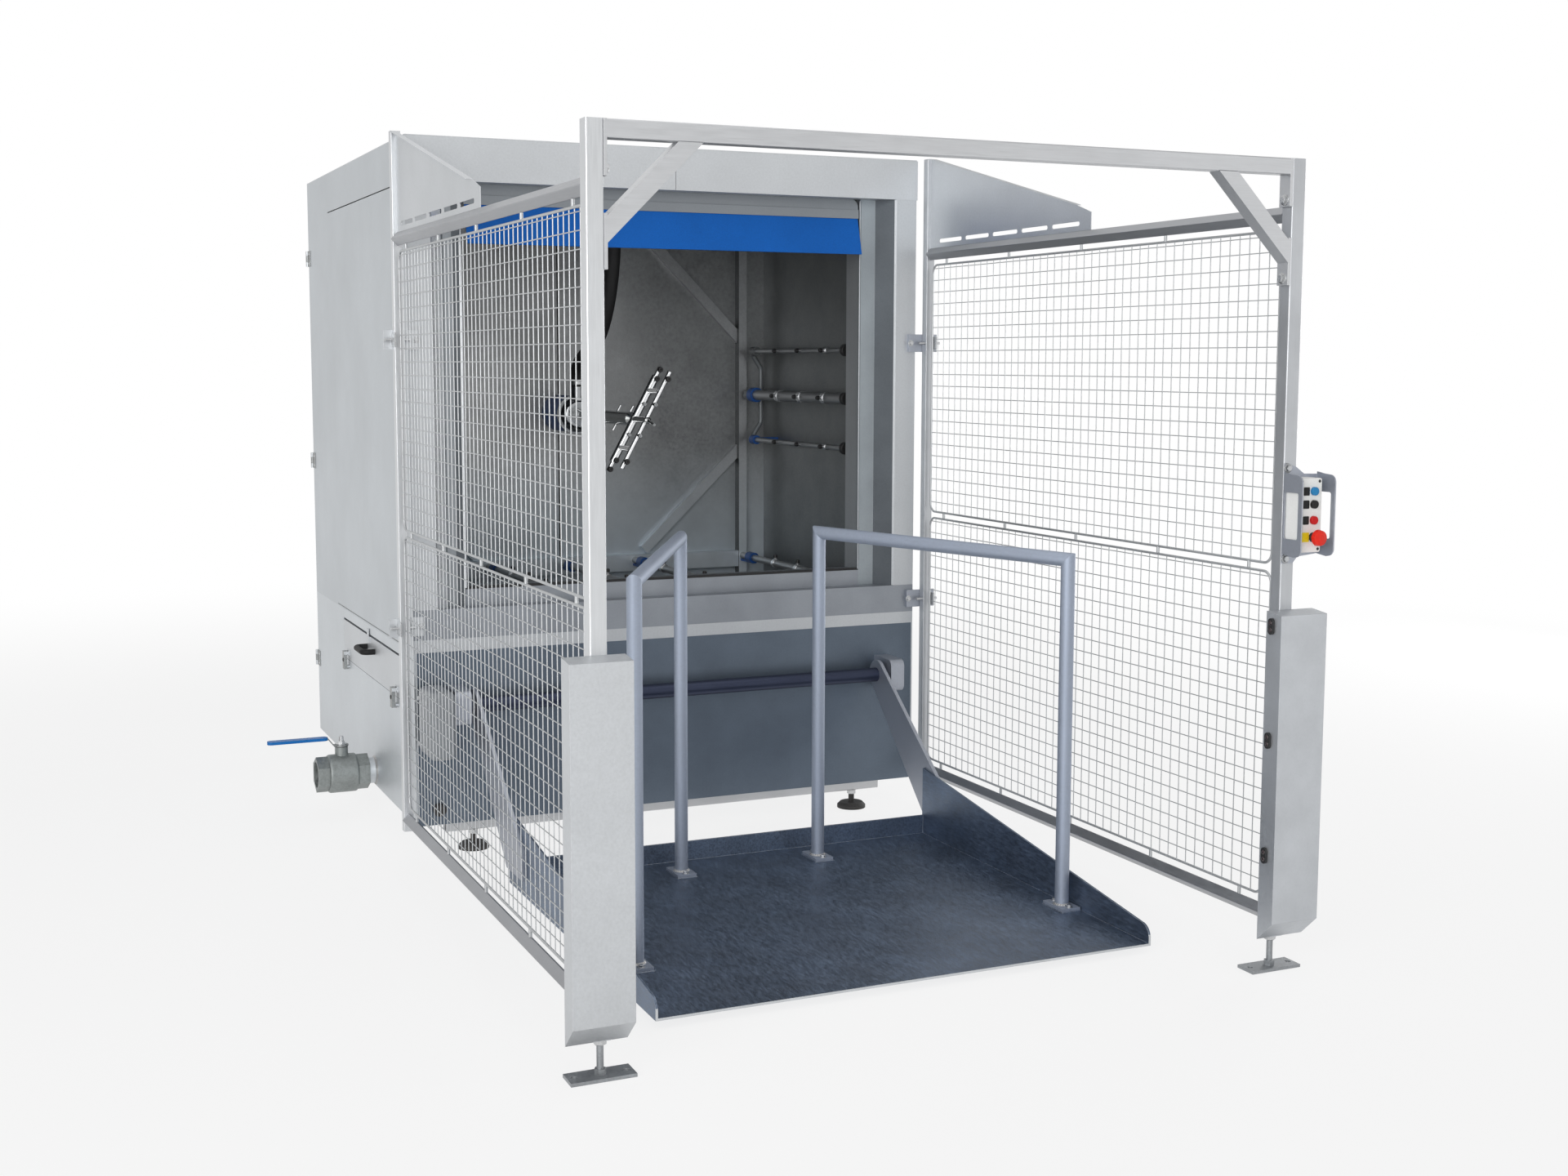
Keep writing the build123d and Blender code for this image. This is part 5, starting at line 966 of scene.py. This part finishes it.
arm_way = np.array([math.sin(ARM_TILT), 0.0, math.cos(ARM_TILT)])
rear_row, front_row = [np.array([0.0, y, AXIS_Z]) for y in (REAR_Y, FRONT_Y)]
outer, end, inner = [np.array([[-reach], [reach]]) * arm_way for reach in (OUTER, END, INNER)]
rows = ((rear_row, REAR_R), (front_row, FRONT_R))
arm_caps = [nozzles(row + outer, FORWARD, arm_r + JET_OUT, ARM_CAP_R) for row, arm_r in rows]
arm_caps.append(nozzles(rear_row + end, FORWARD, FRONT_R + BEHIND_TIP * END_CAP, ARM_CAP_R, END_CAP))
piece("rotor_nozzles", arm_caps, "rotor", moulded_black)
studs = [nozzles(row + inner, FORWARD, arm_r + JET_OUT, STUD_CAP_R, STUD_CAP) for row, arm_r in rows]
piece("rotor_studs", studs, "rotor", polished)

# %% [markdown]
# ## Control box details
# Beside each push button sits a small black legend plate, left bare here. The emergency button has a
# dark neck ring and a yellow plate beside it, bare as well. These plates are thin and lie on the box,
# so each is a rounded outline raised by its thickness, and no hole has to be cut into the box.

# %% Legends and collar
BOX_FRONT, KEY_X, LEGEND_X = -55.0, 951.0, 927.5
KEYS_Z, MUSHROOM_Z, YELLOW_Z = (1250.0, 1217.0, 1177.0), 1134.0, 1134.5
BOX_SCREWS_X, BOX_SCREWS_Z = (913.0, 968.0), (1104.0, 1275.0)

legend = rounded_plate(width=18, tall=21, thick=1.6, corner=2)
legend_spots = np.array([[LEGEND_X, BOX_FRONT, z] for z in KEYS_Z])
piece("legend_plates", [stamp(legend, legend_spots, FORWARD)], "base", black_key)
collar = hoop(np.array([(9.8, 0), (12.5, 0), (12.5, 4.0), (11.5, 6.0), (9.8, 6.0)]), 40)
collar_ring = stamp(collar, [[KEY_X, BOX_FRONT, MUSHROOM_Z]], FORWARD)
piece("emergency_collar", [collar_ring], "base", moulded_black)
square = rounded_plate(width=22, tall=24, thick=1.6, corner=2)
yellow_square = stamp(square, [[LEGEND_X, BOX_FRONT, YELLOW_Z]], FORWARD)
piece("emergency_plate", [yellow_square], "base", yellow_plate)
box_screws = np.array([[x, BOX_FRONT, z] for x in BOX_SCREWS_X for z in BOX_SCREWS_Z])
piece("box_screws", [stamp(dome(4.0, 1.6), box_screws, FORWARD)], "base", moulded_black)

# %% [markdown]
# ## Light-barrier lenses
# Each barrier head looks across the gate through two small dark lenses. A lens is a low dome, set on
# the head's inner face.

# %% Lenses
EYES_Z, LENS_STEP = (316.0, 615.0, 908.0), (-9.0, 9.0)

right_eyes = np.array([[854.0, -22.0, z + step] for z in EYES_Z for step in LENS_STEP])
eye_lens = dome(6.0, 2.2)
lenses = [stamp(eye_lens, right_eyes, [-1, 0, 0]), stamp(eye_lens, right_eyes * MIRROR, [1, 0, 0])]
piece("barrier_lenses", lenses, "base", dark_lens)

# %% [markdown]
# ## Shadow along the joint
# The chamber's back wall is two sheets that meet in the middle. Above and below the hub a dark rubber
# bar lies along the joint: the joint is real, the dark bar is painted shadow. Two round bars, partly sunk in
# the wall, are enough for it.

# %% Joint shadow
SEAL_Y, SEAL_R = 3219.0, 4.0
SEAL_SPANS_Z = ((735.0, 1298.0), (1446.0, 2120.0))

seal_foot, seal_top = [np.array([[0.0, SEAL_Y, z] for z in level]) for level in zip(*SEAL_SPANS_Z)]
piece("wall_joint_shadow", [bars(seal_foot, seal_top, SEAL_R)], "base", rubber)

# %% [markdown]
# ## Tank buffer
# A black rubber knob stands on the front of the tank, low on the left side. It is round, so it is
# turned from a profile.

# %% Buffer
BUFFER_SPOT = [-813.0, 1924.5, 155.0]

knob = turned([(21.0, 0), (21.0, 14.0), (18.0, 22.0), (11.0, 26.0), (2.0, 27.0)], 28)
piece("tank_buffer", [stamp(knob, [BUFFER_SPOT], FORWARD)], "base", rubber)

# %% [markdown]
# ## Flap clamp
# A flat strip along the carrier's lower edge holds the top of the flap. It is a plain box.

# %% Clamp strip
CLAMP_LOW, CLAMP_HIGH = (-690.0, 1978.0, 2060.0), (690.0, 1981.0, 2090.0)


def slab(low, high):
    """A box between two corners: every choice of low or high for x, y and z."""
    corners = np.stack(np.meshgrid(*zip(low, high), indexing="ij"), axis=-1).reshape(-1, 3)
    quads = np.array([[0, 1, 3, 2], [4, 6, 7, 5], [0, 4, 5, 1], [2, 3, 7, 6], [0, 2, 6, 4], [1, 5, 7, 3]])
    return corners, quads, np.empty((0, 4), int)


# The strip takes the carrier's dark tone: painted shadow under the header.
piece("flap_clamp", [slab(CLAMP_LOW, CLAMP_HIGH)], "base", carrier_sheet)

# %% [markdown]
# ## Mouth hems
# The sheet is rolled over along both sides of the mouth, so that no sharp edge is left. The roll shows
# as a thin bright line from the sill to the header, and a round bar has that shape.

# %% Hems
HEM_X, HEM_Y, HEM_FOOT_Z, HEM_TOP_Z = 699.5, 1987.0, 852.0, 2120.0
HEM_R, HEM_SIDES = 4.0, 12

hem_foot, hem_top = [both_sides([[HEM_X, HEM_Y, z]]) for z in (HEM_FOOT_Z, HEM_TOP_Z)]
piece("mouth_hems", [bars(hem_foot, hem_top, HEM_R, HEM_SIDES)], "base", hem_sheet)

# %% [markdown]
# ## Weld beads
# Tubes that stand on plates are welded all round. A bead is a ring whose outline swells and sinks
# slightly as it goes round, which is how a row of weld puddles looks. A bump map could fake it on a
# flat face, but the bead stands out at the tube's foot, so it is a real ring.

# %% Beads
LEG_R, SHAFT_R, DRAIN_R = 20.0, 24.0, 44.5
DRAIN_SPOT = [-885.0, 2560.0, 157.0]


def bead(radius, size, puddles, sides=72):
    """A ring of triangular section on the plate: size * (1 + 0.14 sin(puddles a)) out and up."""
    angle = np.arange(sides) * 2 * np.pi / sides
    swell = size * (1 + 0.14 * np.sin(puddles * angle))
    rings = []
    for out, rise in ((0.0, 0.0), (1.0, 0.0), (0.55, 0.55), (0.0, 1.0)):
        reach = radius + out * swell
        rings.append(np.column_stack([reach[:, None] * circle(sides), rise * swell]))
    points = np.concatenate(rings)
    return points, grid_faces(len(rings) + 1, sides) % len(points), np.empty((0, sides), int)


shaft_bead = bead(SHAFT_R, 6.0, 24)
right_arm, left_arm = both_sides([[717.0, 1850.0, 498.0]])[:, None]
cradle_beads = [stamp(bead(LEG_R, 5.0, 24), leg_feet, [0, 0, 1]),
                stamp(shaft_bead, right_arm, [1, 0, 0]), stamp(shaft_bead, left_arm, [-1, 0, 0])]
piece("cradle_welds", cradle_beads, "cradle", weld)
drain_bead = stamp(bead(DRAIN_R, 6.0, 40), [DRAIN_SPOT], [-1, 0, 0])
piece("drain_weld", [drain_bead], "base", weld)
